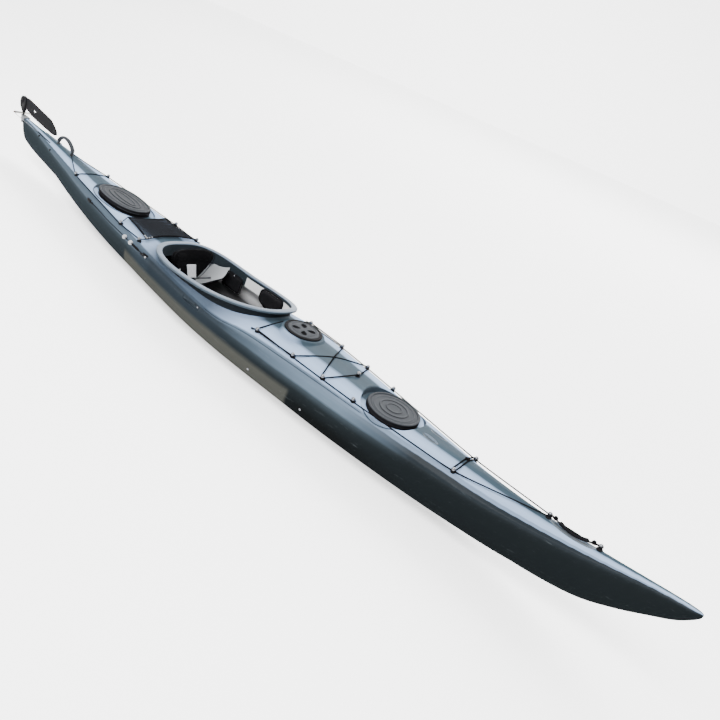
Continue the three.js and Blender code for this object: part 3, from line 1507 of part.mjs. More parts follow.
function deckNet() {
  const hooks = [
    [0, -1],
    [0, 1],
    [1, -1],
    [1, 1],
  ].map(([u, v]) => {
    const corner = netPoint(u, v);
    const [x, y] = u ? fittingPlaces.aft_front : fittingPlaces.aft_middle;
    const neck = besideNeck(x, v * y, 0, 0, bungeeLift);
    const from = new THREE.Vector3(corner.x, corner.y, netHeight(corner.x));
    const way = neck.clone().sub(from);
    const reach = fittingNeck + lineRadius + fitGap;
    const end = from.clone().addScaledVector(way, 1 - reach / way.length());
    return unite(cord([from, end], lineRadius, 1), eye(x, v * y, lineRadius, bungeeLift));
  });
  addPart("deck_net", unite(netWeb(), ...hooks), "netGrey");
}

const netSag = 30;
const netSideDrawShare = 0.05;
const netStandOff = 9;
const netCentre = new THREE.Vector2((netRearX + netFrontX) / 2, 0);

// The net's height: it hangs level across the boat, above the deck's ridge
function netHeight(x) {
  const ridge = stationShare(1, x / halfLength) * hullHeight;
  return ridge + netStandOff;
}

// Rudder lift line on the starboard side: a fairlead, two bead grips and a cleat

const liftLineZ = 210;
const liftAftX = -1300;
const liftRunX = [-1010, -640];
const liftBeadX = [-812, -742];
const liftCleatX = -598;

// A point off the starboard side
function besideHull(x, z, stand) {
  const { point, normal } = sideAt(x, z, -1);
  return point.addScaledVector(normal, stand);
}

function onLiftRun(x) {
  const [from, to] = liftRunX.map((at) => besideHull(at, liftLineZ, liftLineStandOff));
  return from.lerp(to, (x - liftRunX[0]) / (liftRunX[1] - liftRunX[0]));
}

function liftLine() {
  const hullSide = besideHull(liftAftX, liftLineZ, 0);
  const inlet = besideHull(liftAftX + fairleadLength / 2, liftLineZ, fairleadSize / 2);
  const run = [0, 0.2, 0.45, 0.7, 0.9, 1].map((t) => onLiftRun(liftRunX[0] + (liftRunX[1] - liftRunX[0]) * t));
  const cleat = besideHull(liftCleatX, liftLineZ, cleatPostHeight / 2);
  const turnOff = cleatPost + lineRadius + restGap;
  const end = cleat.clone().add(new THREE.Vector3(-turnOff, 0, 0));
  const steps = [0.3, 0.6].map((t) => {
    const at = inlet.clone().lerp(run[0], t);
    return besideHull(at.x, liftLineZ, lineRadius + restGap + liftLineStandOff * t * 0.6);
  });
  const ring = Array.from({ length: 8 }, (_, i) => {
    const turn = Math.PI + (Math.PI * i) / 4;
    return cleat.clone().add(new THREE.Vector3(turnOff * Math.cos(turn), 0, turnOff * Math.sin(turn)));
  });
  const line = unite(
    cord([inlet, ...steps, ...run, end], liftCordRadius, 2),
    cord(ring, liftCordRadius, 1, true, across),
  );
  addPart("lift_line", line, "cordBlack");
  const lead = box(0, 0, 0, fairleadLength, fairleadSize, fairleadSize);
  const turn = Math.atan2(run[0].y - hullSide.y, run[0].x - hullSide.x);
  const bore = new THREE.CylinderGeometry(liftCordRadius + fitGap, liftCordRadius + fitGap, fairleadLength, 8);
  bore.rotateZ(Math.PI / 2).rotateZ(turn).translate(inlet.x, inlet.y, inlet.z);
  lead.rotateZ(turn).translate(hullSide.x, hullSide.y, hullSide.z);
  const fairlead = solidFrom(lead).subtract(hullClear).subtract(solidFrom(bore));
  addPart("lift_fairlead", fairlead, "blackPlastic");
  const heading = run[1].clone().sub(run[0]).normalize();
  ["aft", "fore"].forEach((end, i) => {
    const bead = turned(
      [
        [liftCordRadius + fitGap, -liftBallRadius * 0.9],
        [liftBallRadius * 0.55, -liftBallRadius * 0.9],
        [liftBallRadius * 0.92, -liftBallRadius * 0.45],
        [liftBallRadius, 0],
        [liftBallRadius * 0.92, liftBallRadius * 0.45],
        [liftBallRadius * 0.55, liftBallRadius * 0.9],
        [liftCordRadius + fitGap, liftBallRadius * 0.9],
        [liftCordRadius + fitGap, -liftBallRadius * 0.9],
      ],
      12,
    );
    bead.applyQuaternion(new THREE.Quaternion().setFromUnitVectors(up, heading));
    const at = onLiftRun(liftBeadX[i]);
    addPart("lift_grip_" + end, bead.translate(at.x, at.y, at.z), "ballWhite");
  });
  const base = box(liftCleatX, cleat.y, cleat.z, cleatLength, cleatPostHeight, cleatPost * 3);
  const room = box(liftCleatX, cleat.y, cleat.z, 2 * cleatLength, cleatPostHeight / 2 + 2 * lineRadius, cutOverrun);
  const post = new THREE.CylinderGeometry(cleatPost, cleatPost, cleatPostHeight, 10).translate(
    liftCleatX,
    cleat.y,
    cleat.z,
  );
  const horns = box(liftCleatX, cleat.y - cleatPostHeight / 2 - cleatPost / 2, cleat.z, cleatLength, cleatPost, 2 * cleatPost);
  const foot = solidFrom(base).subtract(solidFrom(room));
  const pieces = foot.add(solidFrom(post)).add(solidFrom(horns)).subtract(hullClear);
  addPart("lift_cleat", pieces, "alloy");
}

const fairleadLength = 44;
const fairleadSize = 16;
const liftCordRadius = 2;
const cleatPost = 4;
const cleatPostHeight = 18;
const cleatLength = 46;

// Steering cables: a sleeve out of the deck's edge, a thin cable to the yoke and a barrel in the yoke's arm

const cableExitX = -2250;
const cableSleeveEndX = -2060;
const cableSleeveRadius = 4;
const cableOut = [38, 54];

function steeringCable(sign, name) {
  const arm = sign * (yokeHalfSpan - yokeBar);
  const barrelFoot = rudderHeadFoot - 8;
  const barrel = standingCylinder(rudderPinX, barrelFoot, cableRadius + 0.4, yokeHeight + 12, 8).translate(0, arm, 0);
  const exit = deckAt(cableExitX, sign * (cableOut[0] - 8)).point;
  const start = deckAt(cableSleeveEndX, sign * (cableOut[1] - 12)).point;
  const sleeve = [
    start.clone().setZ(start.z + cableSleeveRadius / 4),
    start.clone().lerp(exit, 1 / 2).setZ((start.z + exit.z) / 2 + cableSleeveRadius / 2),
    exit.clone().setZ(exit.z + cableSleeveRadius + 1),
  ];
  const route = [
    exit.clone().setZ(exit.z + cableSleeveRadius + 1),
    new THREE.Vector3(cableExitX - 60, sign * (cableOut[0] + 2), exit.z + cableSleeveRadius + 3),
    new THREE.Vector3(rudderPinX + 60, arm, barrelFoot + cableRadius - 2),
    new THREE.Vector3(rudderPinX, arm, barrelFoot + cableRadius),
  ];
  const cable = unite(
    solidFrom(cord(sleeve, cableSleeveRadius, 3)).subtract(hullClear),
    cord(route, cableRadius, 2),
    barrel,
  );
  addPart(name, cable, "steel");
}

function makeKayak() {
  addPart("hull_shell", hullShell(), "deckBlue");
  bulkhead("fore_bulkhead", foreBulkheadX);
  bulkhead("aft_bulkhead", aftBulkheadX);
  foreHatch();
  aftHatch();
  dayHatch();
  seatPan();
  backrest();
  sidePad(1, "hip_pad_port", hipPadTurns, hipPadDrops, hipPadDepth);
  sidePad(-1, "hip_pad_starboard", hipPadTurns, hipPadDrops, hipPadDepth);
  sidePad(1, "thigh_brace_port", braceTurns, braceDrops, bracePadDepth);
  sidePad(-1, "thigh_brace_starboard", braceTurns, braceDrops, bracePadDepth);
  footRail(1, "foot_rail_port");
  footRail(-1, "foot_rail_starboard");
  footPedal(1, "foot_pedal_port");
  footPedal(-1, "foot_pedal_starboard");
  rudderBracket();
  rudderPin();
  rudderHead();
  rudderBlade();
  steeringCable(1, "steering_cable_port");
  steeringCable(-1, "steering_cable_starboard");
  deckFittings();
  foreDeckLine();
  foreBungee();
  paddleBungee();
  aftDeckLine();
  bowHandle();
  sternHandle();
  deckNet();
  liftLine();
}

makeKayak();

export default kayak;
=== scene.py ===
import json
import math

import bmesh
import bpy
import numpy as np
from mathutils import Matrix, Vector

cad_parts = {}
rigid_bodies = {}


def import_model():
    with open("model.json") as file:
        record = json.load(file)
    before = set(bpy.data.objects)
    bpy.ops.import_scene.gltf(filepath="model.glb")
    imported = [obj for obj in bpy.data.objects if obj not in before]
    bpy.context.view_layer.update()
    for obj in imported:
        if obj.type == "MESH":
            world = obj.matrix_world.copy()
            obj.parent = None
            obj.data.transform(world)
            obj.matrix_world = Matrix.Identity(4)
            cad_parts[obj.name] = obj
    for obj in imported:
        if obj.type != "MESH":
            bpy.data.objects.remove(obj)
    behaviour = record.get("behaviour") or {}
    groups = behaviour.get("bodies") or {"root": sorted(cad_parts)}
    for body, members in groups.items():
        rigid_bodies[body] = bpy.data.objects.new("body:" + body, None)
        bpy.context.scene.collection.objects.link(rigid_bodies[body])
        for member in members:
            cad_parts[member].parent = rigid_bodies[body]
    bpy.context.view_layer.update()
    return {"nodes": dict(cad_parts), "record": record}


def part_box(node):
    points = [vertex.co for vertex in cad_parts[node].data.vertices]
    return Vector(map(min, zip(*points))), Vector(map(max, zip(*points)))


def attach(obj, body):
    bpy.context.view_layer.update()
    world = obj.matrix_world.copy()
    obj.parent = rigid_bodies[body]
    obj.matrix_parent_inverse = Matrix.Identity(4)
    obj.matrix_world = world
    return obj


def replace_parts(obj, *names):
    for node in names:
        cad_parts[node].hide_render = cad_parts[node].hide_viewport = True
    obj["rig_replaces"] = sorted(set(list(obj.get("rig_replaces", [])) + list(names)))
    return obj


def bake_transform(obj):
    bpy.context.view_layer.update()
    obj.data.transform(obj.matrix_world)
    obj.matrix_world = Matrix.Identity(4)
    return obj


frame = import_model()
nodes = frame["nodes"]
milli = 0.001
up = Vector((0, 0, 1))
weld, sliver = 1e-6, 1e-7      # points nearer than this are one, and edges shorter than this go, in metres
print("frame loaded:", len(nodes), "parts")


def placed(name, data):
    thing = bpy.data.objects.new(name, data)
    bpy.context.scene.collection.objects.link(thing)
    return thing


def meshOf(name, shape):
    data = bpy.data.meshes.new(name)
    shape.to_mesh(data)
    shape.free()
    return data


# Stands +Z along a direction at a place, with +Y upright
def facing(place, way):
    return Matrix.Translation(place) @ Vector(way).to_track_quat("Z", "Y").to_matrix().to_4x4()


# Camera at the photograph's place and angle
viewpoint = {
    "place": (2.348, -2.628, 1.796),
    "turn": 120.88,      # heading of the view, degrees from +X
    "pitch": -24.73,
    "roll": 23.8,
    "lens": 35.575,
    "sensor": 36,        # mm wide
    "clip": (0.05, 60),
}


def makeCamera(v):
    turn, pitch, roll = (math.radians(v[key]) for key in ("turn", "pitch", "roll"))
    ahead = Vector((math.cos(pitch) * math.cos(turn), math.cos(pitch) * math.sin(turn), math.sin(pitch)))
    level = ahead.cross(up).normalized()
    upright = level.cross(ahead)
    right = math.cos(roll) * level + math.sin(roll) * upright
    top = math.cos(roll) * upright - math.sin(roll) * level
    camera = placed("camera", bpy.data.cameras.new("camera"))
    camera.data.lens, camera.data.sensor_width = v["lens"], v["sensor"]
    camera.data.clip_start, camera.data.clip_end = v["clip"]
    camera.matrix_world = Matrix.Translation(v["place"]) @ Matrix((right, top, -ahead)).transposed().to_4x4()
    bpy.context.scene.camera = camera


makeCamera(viewpoint)

# Floor, backdrop and light
studio = {
    "paint": (0.95, 0.95, 0.95),
    "roughness": 0.9,
    "floor": (60, -0.001, 1.3),                   # half size, height and glow
    "backdrop": (45, (-10.5, 19.0, 0), 1.9),      # half size, middle and glow
    "world": ((1.0, 1.0, 1.0), 1.3),
    "lamps": [            # place, aim, size, power
        ((-0.3, -3.6, 6.2), (0.0, 0.2, 0), (9.0, 4.0), 1250),
        ((0.5, 11.0, 8.5), (0.5, 8.5, 0), (20.0, 9.0), 3600),
    ],
}


# A pale plane that glows a little and isn't part of the object
def stagePlane(name, size, matrix, glow):
    shape = bmesh.new()
    bmesh.ops.create_grid(shape, x_segments=1, y_segments=1, size=size)
    bmesh.ops.transform(shape, matrix=matrix, verts=shape.verts)
    plane = placed(name, meshOf(name, shape))
    material = bpy.data.materials.new(name)
    material.use_nodes = True
    shader = material.node_tree.nodes["Principled BSDF"]
    for socket in ("Base Color", "Emission Color"):
        shader.inputs[socket].default_value = (*studio["paint"], 1)
    shader.inputs["Roughness"].default_value = studio["roughness"]
    shader.inputs["Emission Strength"].default_value = glow
    plane.data.materials.append(material)


def makeStudio(s):
    size, height, glow = s["floor"]
    stagePlane("floor", size, Matrix.Translation((0, 0, height)), glow)
    size, middle, glow = s["backdrop"]
    towards = Vector(viewpoint["place"]) - Vector(middle)
    stagePlane("backdrop", size, facing(middle, (towards.x, towards.y, 0)), glow)
    world = bpy.data.worlds.new("studio")
    world.use_nodes = True
    colour, strength = s["world"]
    background = world.node_tree.nodes["Background"]
    background.inputs["Color"].default_value = (*colour, 1)
    background.inputs["Strength"].default_value = strength
    bpy.context.scene.world = world
    for i, (place, aim, size, power) in enumerate(s["lamps"]):
        light = bpy.data.lights.new("softbox%d" % i, "AREA")
        light.shape, light.energy = "RECTANGLE", power
        light.size, light.size_y = size
        placed("softbox%d" % i, light).matrix_world = facing(place, Vector(place) - Vector(aim))


makeStudio(studio)
print("camera, floor and light made")


# Mesh helpers: pieces are placed in metres, from sizes in millimetres
def smoothed(data, keepAngle=None):
    data.polygons.foreach_set("use_smooth", [True] * len(data.polygons))
    if keepAngle is not None:
        data.set_sharp_from_angle(angle=math.radians(keepAngle))


# looks: the name of its finish, or a list with one for each material slot
def newPiece(name, shape, looks, body="hull_body", keepAngle=35, slot=None, stands=()):
    data = meshOf(name, shape)
    smoothed(data, keepAngle)
    piece = placed(name, data)
    for look in [looks] if isinstance(looks, str) else looks:
        data.materials.append(finish[look])
    if body:
        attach(piece, body)
    if stands:
        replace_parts(piece, *stands)
    return piece


# Turns that divide a full round evenly
def turnsOf(count):
    return np.arange(count) * 2 * math.pi / count


# Sine or cosine raised to a power with its sign kept: below 1 it squares a round outline
def squared(value, power):
    return math.copysign(abs(value) ** power, value)


def unit(rows):
    return rows / np.linalg.norm(rows, axis=-1, keepdims=True)


def welded(shape):
    bmesh.ops.remove_doubles(shape, verts=shape.verts, dist=weld)
    bmesh.ops.dissolve_degenerate(shape, edges=shape.edges, dist=sliver)
    return shape


# A skin over rows of points, in millimetres: a grid of that many points moved into place, then closed round
def skinOver(rows, closed=True, caps=True, loop=False):
    rows = np.asarray(rows, float)
    if closed:
        rows = np.concatenate([rows, rows[:, :1]], axis=1)
    if loop:
        rows = np.concatenate([rows, rows[:1]], axis=0)
    along, around = rows.shape[:2]
    shape = bmesh.new()
    bmesh.ops.create_grid(shape, x_segments=around - 1, y_segments=along - 1, size=0.5)
    for vert in shape.verts:
        k = round((vert.co.x + 0.5) * (around - 1))
        i = round((vert.co.y + 0.5) * (along - 1))
        vert.co = Vector(rows[i, k]) * milli
    welded(shape)
    if caps and not loop:
        bmesh.ops.holes_fill(shape, edges=[e for e in shape.edges if e.is_boundary], sides=0)
    bmesh.ops.recalc_face_normals(shape, faces=shape.faces)
    return shape


# Gives the faces that pass a test another finish
def paintFaces(piece, look, test):
    piece.data.materials.append(finish[look])
    index = len(piece.data.materials) - 1
    for face in piece.data.polygons:
        if test(face):
            face.material_index = index


# A solid of revolution about +Z from [radius, height] pairs, in millimetres
def turnedShape(profile, steps=96):
    shape = bmesh.new()
    verts = [shape.verts.new((radius * milli, 0, height * milli)) for radius, height in profile]
    edges = [shape.edges.new(pair) for pair in zip(verts, verts[1:])]
    bmesh.ops.spin(shape, geom=verts + edges, cent=(0, 0, 0), axis=(0, 0, 1), angle=2 * math.pi,
                   steps=steps, use_merge=True, use_duplicate=False)
    bmesh.ops.recalc_face_normals(welded(shape), faces=shape.faces)
    return shape


def moved(shape, x, y=0, z=0):
    bmesh.ops.translate(shape, verts=shape.verts, vec=Vector((x, y, z)) * milli)
    return shape


def stood(shape, place, direction):
    turn = up.rotation_difference(Vector(direction)).to_matrix().to_4x4()
    bmesh.ops.transform(shape, matrix=Matrix.Translation(Vector(place) * milli) @ turn, verts=shape.verts)
    return shape


def ballShape(radius, around, along):
    shape = bmesh.new()
    bmesh.ops.create_uvsphere(shape, u_segments=around, v_segments=along, radius=radius * milli)
    return shape


def joined(shapes):
    whole = bmesh.new()
    for shape in shapes:
        data = meshOf("part", shape)
        whole.from_mesh(data)
        bpy.data.meshes.remove(data)
    return whole


# A round tube along points, in millimetres
def tubeShape(points, radius, sides=12, closed=False, reference=(0, 0, 1)):
    points = np.asarray(points, float)
    if closed:
        ahead = unit(np.roll(points, -1, 0) - np.roll(points, 1, 0))
    else:
        ahead = unit(np.gradient(points, axis=0))
    reference = np.asarray(reference, float)
    first = unit(reference - (ahead @ reference)[:, None] * ahead)
    second = np.cross(ahead, first)
    turns = turnsOf(sides)[None, :, None]
    return skinOver(points[:, None] + radius * (np.cos(turns) * first[:, None] + np.sin(turns) * second[:, None]),
                    loop=closed)


def baked(piece):
    graph = bpy.context.evaluated_depsgraph_get()
    fresh = bpy.data.meshes.new_from_object(piece.evaluated_get(graph), depsgraph=graph)
    piece.modifiers.clear()
    old, piece.data = piece.data, fresh
    bpy.data.meshes.remove(old)
    return piece


# Cuts a shape out of a piece
def carve(piece, shape, keepAngle=40):
    cutter = placed("cutter", meshOf("cutter", shape))
    cut = piece.modifiers.new("cut", "BOOLEAN")
    cut.operation, cut.solver, cut.object = "DIFFERENCE", "MANIFOLD", cutter
    baked(piece)
    data = cutter.data
    bpy.data.objects.remove(cutter)
    bpy.data.meshes.remove(data)
    smoothed(piece.data, keepAngle)


def easeEdges(piece, width, segments, angle):
    easing = piece.modifiers.new("easedEdges", "BEVEL")
    easing.width, easing.segments = width * milli, segments
    easing.limit_method, easing.angle_limit = "ANGLE", math.radians(angle)


# A CAD part's own form with its edges eased, or smoothed as a round cord
def dressed(name, node, look, body="hull_body", edge=0.8, segments=2, smooth=0, slot=None, keepAngle=35):
    shape = bmesh.new()
    shape.from_mesh(nodes[node].data)
    welded(shape)
    if not smooth:
        bmesh.ops.dissolve_limit(shape, angle_limit=math.radians(1), verts=shape.verts, edges=shape.edges)
    piece = newPiece(name, shape, look, body, keepAngle, slot, (node,))
    if edge:
        easeEdges(piece, edge, segments, 40)
    if smooth:
        rounding = piece.modifiers.new("rounding", "SUBSURF")
        rounding.levels = rounding.render_levels = smooth
    return piece


# Shader helpers: an input is set to a value, or linked to another node's output
def feed(tree, node, values):
    for label, value in values.items():
        if isinstance(value, bpy.types.NodeSocket):
            tree.links.new(value, node.inputs[label])
        else:
            node.inputs[label].default_value = value
    return node


def addNode(tree, kind, values):
    return feed(tree, tree.nodes.new("ShaderNode" + kind), values)


def groupOf(name, inputs, outputs):
    group = bpy.data.node_groups.new(name, "ShaderNodeTree")
    group.interface.new_socket(name="Vector", in_out="INPUT", socket_type="NodeSocketVector")
    for label, value in inputs.items():
        socket = group.interface.new_socket(name=label, in_out="INPUT", socket_type="NodeSocketFloat")
        socket.default_value = value
    for label in outputs:
        group.interface.new_socket(name=label, in_out="OUTPUT", socket_type="NodeSocketFloat")
    return group, group.nodes.new("NodeGroupInput").outputs, group.nodes.new("NodeGroupOutput")


def mathNode(tree, operation, first, second=None, clamp=False):
    values = {0: first} if second is None else {0: first, 1: second}
    node = addNode(tree, "Math", values)
    node.operation, node.use_clamp = operation, clamp
    return node.outputs[0]


def product(tree, first, *others):
    for other in others:
        first = mathNode(tree, "MULTIPLY", first, other)
    return first


def rangeNode(tree, value, low, high, to=(0, 1)):
    return addNode(tree, "MapRange", {"Value": value, "From Min": low, "From Max": high, "To Min": to[0],
                                      "To Max": to[1]}).outputs["Result"]


def noiseNode(tree, places, scale, detail=2, roughness=0.5):
    return addNode(tree, "TexNoise", {"Vector": places, "Scale": scale, "Detail": detail,
                                      "Roughness": roughness}).outputs["Fac"]


# The shared patterns: scale and detail of each noise, and the values between which each mask grows
patterns = {
    "fineDetail": 2, "ripple": (14, 3),
    "streakStretch": (0.05, 1.0, 1.0), "streakTurn": (0.1, 0.05, 0.12), "streak": (6, 0.7),      # detail, roughness
    "streakRange": (0.62, 0.72), "streakPatches": 3,
    "threadBend": 0.6, "threadDetail": 1, "gapRange": (0.25, 0.0),
    "edgeRange": (0.52, 0.62), "edgeBreaks": (70, 4),
}


# Fine moulded texture: pebble grain with a slower ripple under it, as a height
def makeGrain(p):
    group, given, end = groupOf("mouldedGrain", {"Fineness": 900.0, "Ripple": 0.4}, ["Height"])
    fine = noiseNode(group, given["Vector"], given["Fineness"], p["fineDetail"])
    slow = noiseNode(group, given["Vector"], *p["ripple"])
    feed(group, end, {"Height": mathNode(group, "ADD", fine, product(group, slow, given["Ripple"]))})
    return group


# Thin scratches that run mostly lengthwise, as a mask
def makeScratches(p):
    group, given, end = groupOf("scratches", {"Density": 60.0, "Amount": 0.5}, ["Mask"])
    stretch = addNode(group, "Mapping", {"Vector": given["Vector"], "Scale": p["streakStretch"],
                                         "Rotation": p["streakTurn"]})
    streak = noiseNode(group, stretch.outputs["Vector"], given["Density"], *p["streak"])
    patches = noiseNode(group, given["Vector"], p["streakPatches"])
    spread = product(group, rangeNode(group, streak, *p["streakRange"]), patches)
    feed(group, end, {"Mask": mathNode(group, "MULTIPLY", spread, given["Amount"], True)})
    return group


# Woven cloth or braid: crossed ribs, as a height and a mask of the gaps
def makeWeave(p):
    group, given, end = groupOf("weave", {"Threads": 400.0}, ["Height", "Gaps"])
    heights = []
    for direction in ("X", "Z"):
        ribs = addNode(group, "TexWave", {"Vector": given["Vector"], "Scale": given["Threads"],
                                          "Distortion": p["threadBend"], "Detail": p["threadDetail"]})
        ribs.wave_type, ribs.bands_direction = "BANDS", direction
        heights.append(ribs.outputs["Fac"])
    height = product(group, *heights)
    feed(group, end, {"Height": height, "Gaps": rangeNode(group, height, *p["gapRange"])})
    return group


# Edge wear: convex edges, broken up by noise, as a mask
def makeEdgeWear(p):
    group, given, end = groupOf("edgeWear", {"Amount": 0.4}, ["Mask"])
    edge = rangeNode(group, addNode(group, "NewGeometry", {}).outputs["Pointiness"], *p["edgeRange"])
    worn = product(group, edge, noiseNode(group, given["Vector"], *p["edgeBreaks"]))
    feed(group, end, {"Mask": mathNode(group, "MULTIPLY", worn, given["Amount"], True)})
    return group


grainGroup, scratchGroup, weaveGroup, wearGroup = (
    make(patterns) for make in (makeGrain, makeScratches, makeWeave, makeEdgeWear))

# Materials from plain values. base and second: colours with a noise of scale patch between them. rough: range of
# roughness. grain: fineness and ripple. depth: of the bump. scratch: density, amount and colour. wear: of the edges.
# weave: threads. below: heights in metres between which the colour turns to a darker one
finishes = {
    "darkRubber": {"base": (0.018, 0.020, 0.023), "second": (0.030, 0.033, 0.038), "patch": 9, "rough": (0.44, 0.62),
                   "specular": 0.04, "grain": (700, 0.5), "depth": 0.00025, "scratch": (90, 0.25, (0.16, 0.16, 0.17)),
                   "wear": 0.08},
    "blackPlastic": {"base": (0.004, 0.004, 0.005), "second": (0.008, 0.008, 0.009), "patch": 20,
                     "rough": (0.32, 0.48), "specular": 0.01, "grain": (1100, 0.3), "depth": 0.00015,
                     "scratch": (120, 0.15, (0.05, 0.05, 0.055)), "wear": 0.05},
    "greyPlastic": {"base": (0.42, 0.42, 0.41), "second": (0.50, 0.50, 0.49), "patch": 6, "rough": (0.5, 0.66),
                    "grain": (800, 0.5), "depth": 0.0003, "scratch": (50, 0.3, (0.3, 0.3, 0.3)), "wear": 0.2},
    "seatPlastic": {"base": (0.30, 0.315, 0.33), "second": (0.38, 0.395, 0.41), "patch": 5, "rough": (0.42, 0.58),
                    "specular": 0.3, "grain": (700, 0.5), "depth": 0.0003, "scratch": (50, 0.35, (0.26, 0.26, 0.27)),
                    "wear": 0.1},
    "blackFoam": {"base": (0.005, 0.005, 0.006), "second": (0.010, 0.010, 0.011), "patch": 40, "rough": (0.85, 0.98),
                  "specular": 0.01, "grain": (1500, 0.2), "depth": 0.0008, "wear": 0.05},
    "greyFoam": {"base": (0.006, 0.006, 0.007), "second": (0.010, 0.010, 0.011), "patch": 30, "rough": (0.8, 0.95),
                 "specular": 0.02, "grain": (1300, 0.2), "depth": 0.0008, "wear": 0.05},
    "padCloth": {"base": (0.003, 0.003, 0.0035), "second": (0.005, 0.005, 0.006), "patch": 12, "rough": (0.8, 0.95),
                 "specular": 0.01, "grain": (900, 0.3), "depth": 0.0008, "wear": 0.03, "weave": 330, "sheen": 0.008},
    "paleCloth": {"base": (0.62, 0.63, 0.66), "second": (0.70, 0.71, 0.75), "patch": 30, "rough": (0.75, 0.9),
                  "grain": (900, 0.2), "depth": 0.0008, "weave": 500},
    "cordBlack": {"base": (0.003, 0.003, 0.004), "second": (0.007, 0.007, 0.008), "patch": 200, "rough": (0.7, 0.9),
                  "specular": 0.01, "grain": (1200, 0.1), "depth": 0.0008, "weave": 700, "sheen": 0.01},
    "netCord": {"base": (0.018, 0.020, 0.024), "second": (0.026, 0.028, 0.034), "patch": 120, "rough": (0.7, 0.9),
                "specular": 0.02, "grain": (1200, 0.1), "depth": 0.0008, "weave": 800},
    "steel": {"base": (0.17, 0.175, 0.19), "second": (0.12, 0.125, 0.135), "patch": 30, "rough": (0.16, 0.28),
              "metal": 1.0, "grain": (500, 0.2), "depth": 0.00005, "scratch": (200, 0.6, (0.35, 0.35, 0.36)),
              "wear": 0.1},
    "alloy": {"base": (0.10, 0.105, 0.11), "second": (0.07, 0.074, 0.08), "patch": 24, "rough": (0.34, 0.5),
              "metal": 1.0, "grain": (700, 0.2), "depth": 0.00008, "scratch": (160, 0.6, (0.28, 0.28, 0.29)),
              "wear": 0.2},
    "yokeAlloy": {"base": (0.62, 0.60, 0.54), "second": (0.50, 0.48, 0.44), "patch": 30, "rough": (0.3, 0.45),
                  "metal": 0.85, "grain": (700, 0.2), "depth": 0.00008, "scratch": (160, 0.5, (0.35, 0.34, 0.3)),
                  "wear": 0.2},
    "brownBall": {"base": (0.060, 0.036, 0.022), "second": (0.095, 0.060, 0.038), "patch": 60, "rough": (0.35, 0.5),
                  "grain": (900, 0.2), "depth": 0.0001, "scratch": (120, 0.2, (0.2, 0.15, 0.1)), "wear": 0.2},
    "paleBead": {"base": (0.22, 0.225, 0.24), "second": (0.28, 0.285, 0.30), "patch": 40, "rough": (0.22, 0.34),
                 "grain": (800, 0.2), "depth": 0.00005, "scratch": (100, 0.3, (0.45, 0.45, 0.46)), "wear": 0.1},
    "hullInside": {"base": (0.60, 0.61, 0.62), "second": (0.70, 0.71, 0.72), "patch": 5, "rough": (0.5, 0.7),
                   "specular": 0.3, "grain": (260, 0.6), "depth": 0.0006, "scratch": (40, 0.2, (0.35, 0.35, 0.35)),
                   "below": (0.125, 0.085, (0.035, 0.036, 0.038))},
    # Lit and shaded copies of the hull's blue plastic, for the coaming, the recesses' walls and the deck's dishes:
    # painted light on the top, painted shade on the side and the inside wall, painted shadow underneath
    "coamingLitTop": {"base": (0.062, 0.086, 0.118), "second": (0.080, 0.108, 0.146), "patch": 5, "rough": (0.3, 0.45),
                   "specular": 0.2, "grain": (420, 0.6), "depth": 0.0002, "scratch": (70, 0.1, (0.1, 0.12, 0.13))},
    "coamingShadedSide": {"base": (0.022, 0.032, 0.042), "second": (0.030, 0.043, 0.056), "patch": 5, "rough": (0.35, 0.5),
                    "specular": 0.12, "grain": (420, 0.6), "depth": 0.0002, "scratch": (70, 0.1, (0.08, 0.1, 0.11))},
    "coamingUnderShadow": {"base": (0.005, 0.007, 0.009), "second": (0.008, 0.011, 0.014), "patch": 5, "rough": (0.6, 0.8),
                     "specular": 0.05, "grain": (420, 0.6), "depth": 0.0002},
    "coamingInsideShade": {"base": (0.010, 0.015, 0.019), "second": (0.015, 0.021, 0.026), "patch": 5, "rough": (0.4, 0.6),
                      "specular": 0.15, "grain": (420, 0.6), "depth": 0.0002,
                      "scratch": (70, 0.1, (0.1, 0.12, 0.13))},
}
patchDetail = 4
wornLighter = (2.2, 0.04)      # a worn edge's colour: the second colour times the first number plus the second
clothGrain, gapShade = 0.3, 0.45      # share of the grain in a cloth's height, and of the base colour in its gaps


def mixColour(tree, mask, first, second):
    mix = tree.nodes.new("ShaderNodeMix")
    mix.data_type = "RGBA"
    factor, a, b = [s for s in mix.inputs if s.enabled][:3]
    tree.links.new(mask, factor)
    for socket, value in ((a, first), (b, second)):
        if isinstance(value, tuple):
            socket.default_value = (*value, 1)
        else:
            tree.links.new(value, socket)
    return [s for s in mix.outputs if s.enabled][0]


def groupNode(tree, group, places, **values):
    node = tree.nodes.new("ShaderNodeGroup")
    node.node_tree = group
    return feed(tree, node, {"Vector": places, **values}).outputs


def newMaterial(name):
    material = bpy.data.materials.new(name)
    material.use_nodes = True
    tree = material.node_tree
    return material, tree, tree.nodes["Principled BSDF"], addNode(tree, "TexCoord", {}).outputs["Object"]


# A colour with scratches (density, amount, colour) and worn edges (amount, colour) over it
def worn(tree, places, colour, scratch, wear):
    if scratch:
        marks = groupNode(tree, scratchGroup, places, Density=scratch[0], Amount=scratch[1])
        colour = mixColour(tree, marks["Mask"], colour, scratch[2])
    if wear:
        edges = groupNode(tree, wearGroup, places, Amount=wear[0])
        colour = mixColour(tree, edges["Mask"], colour, wear[1])
    return colour


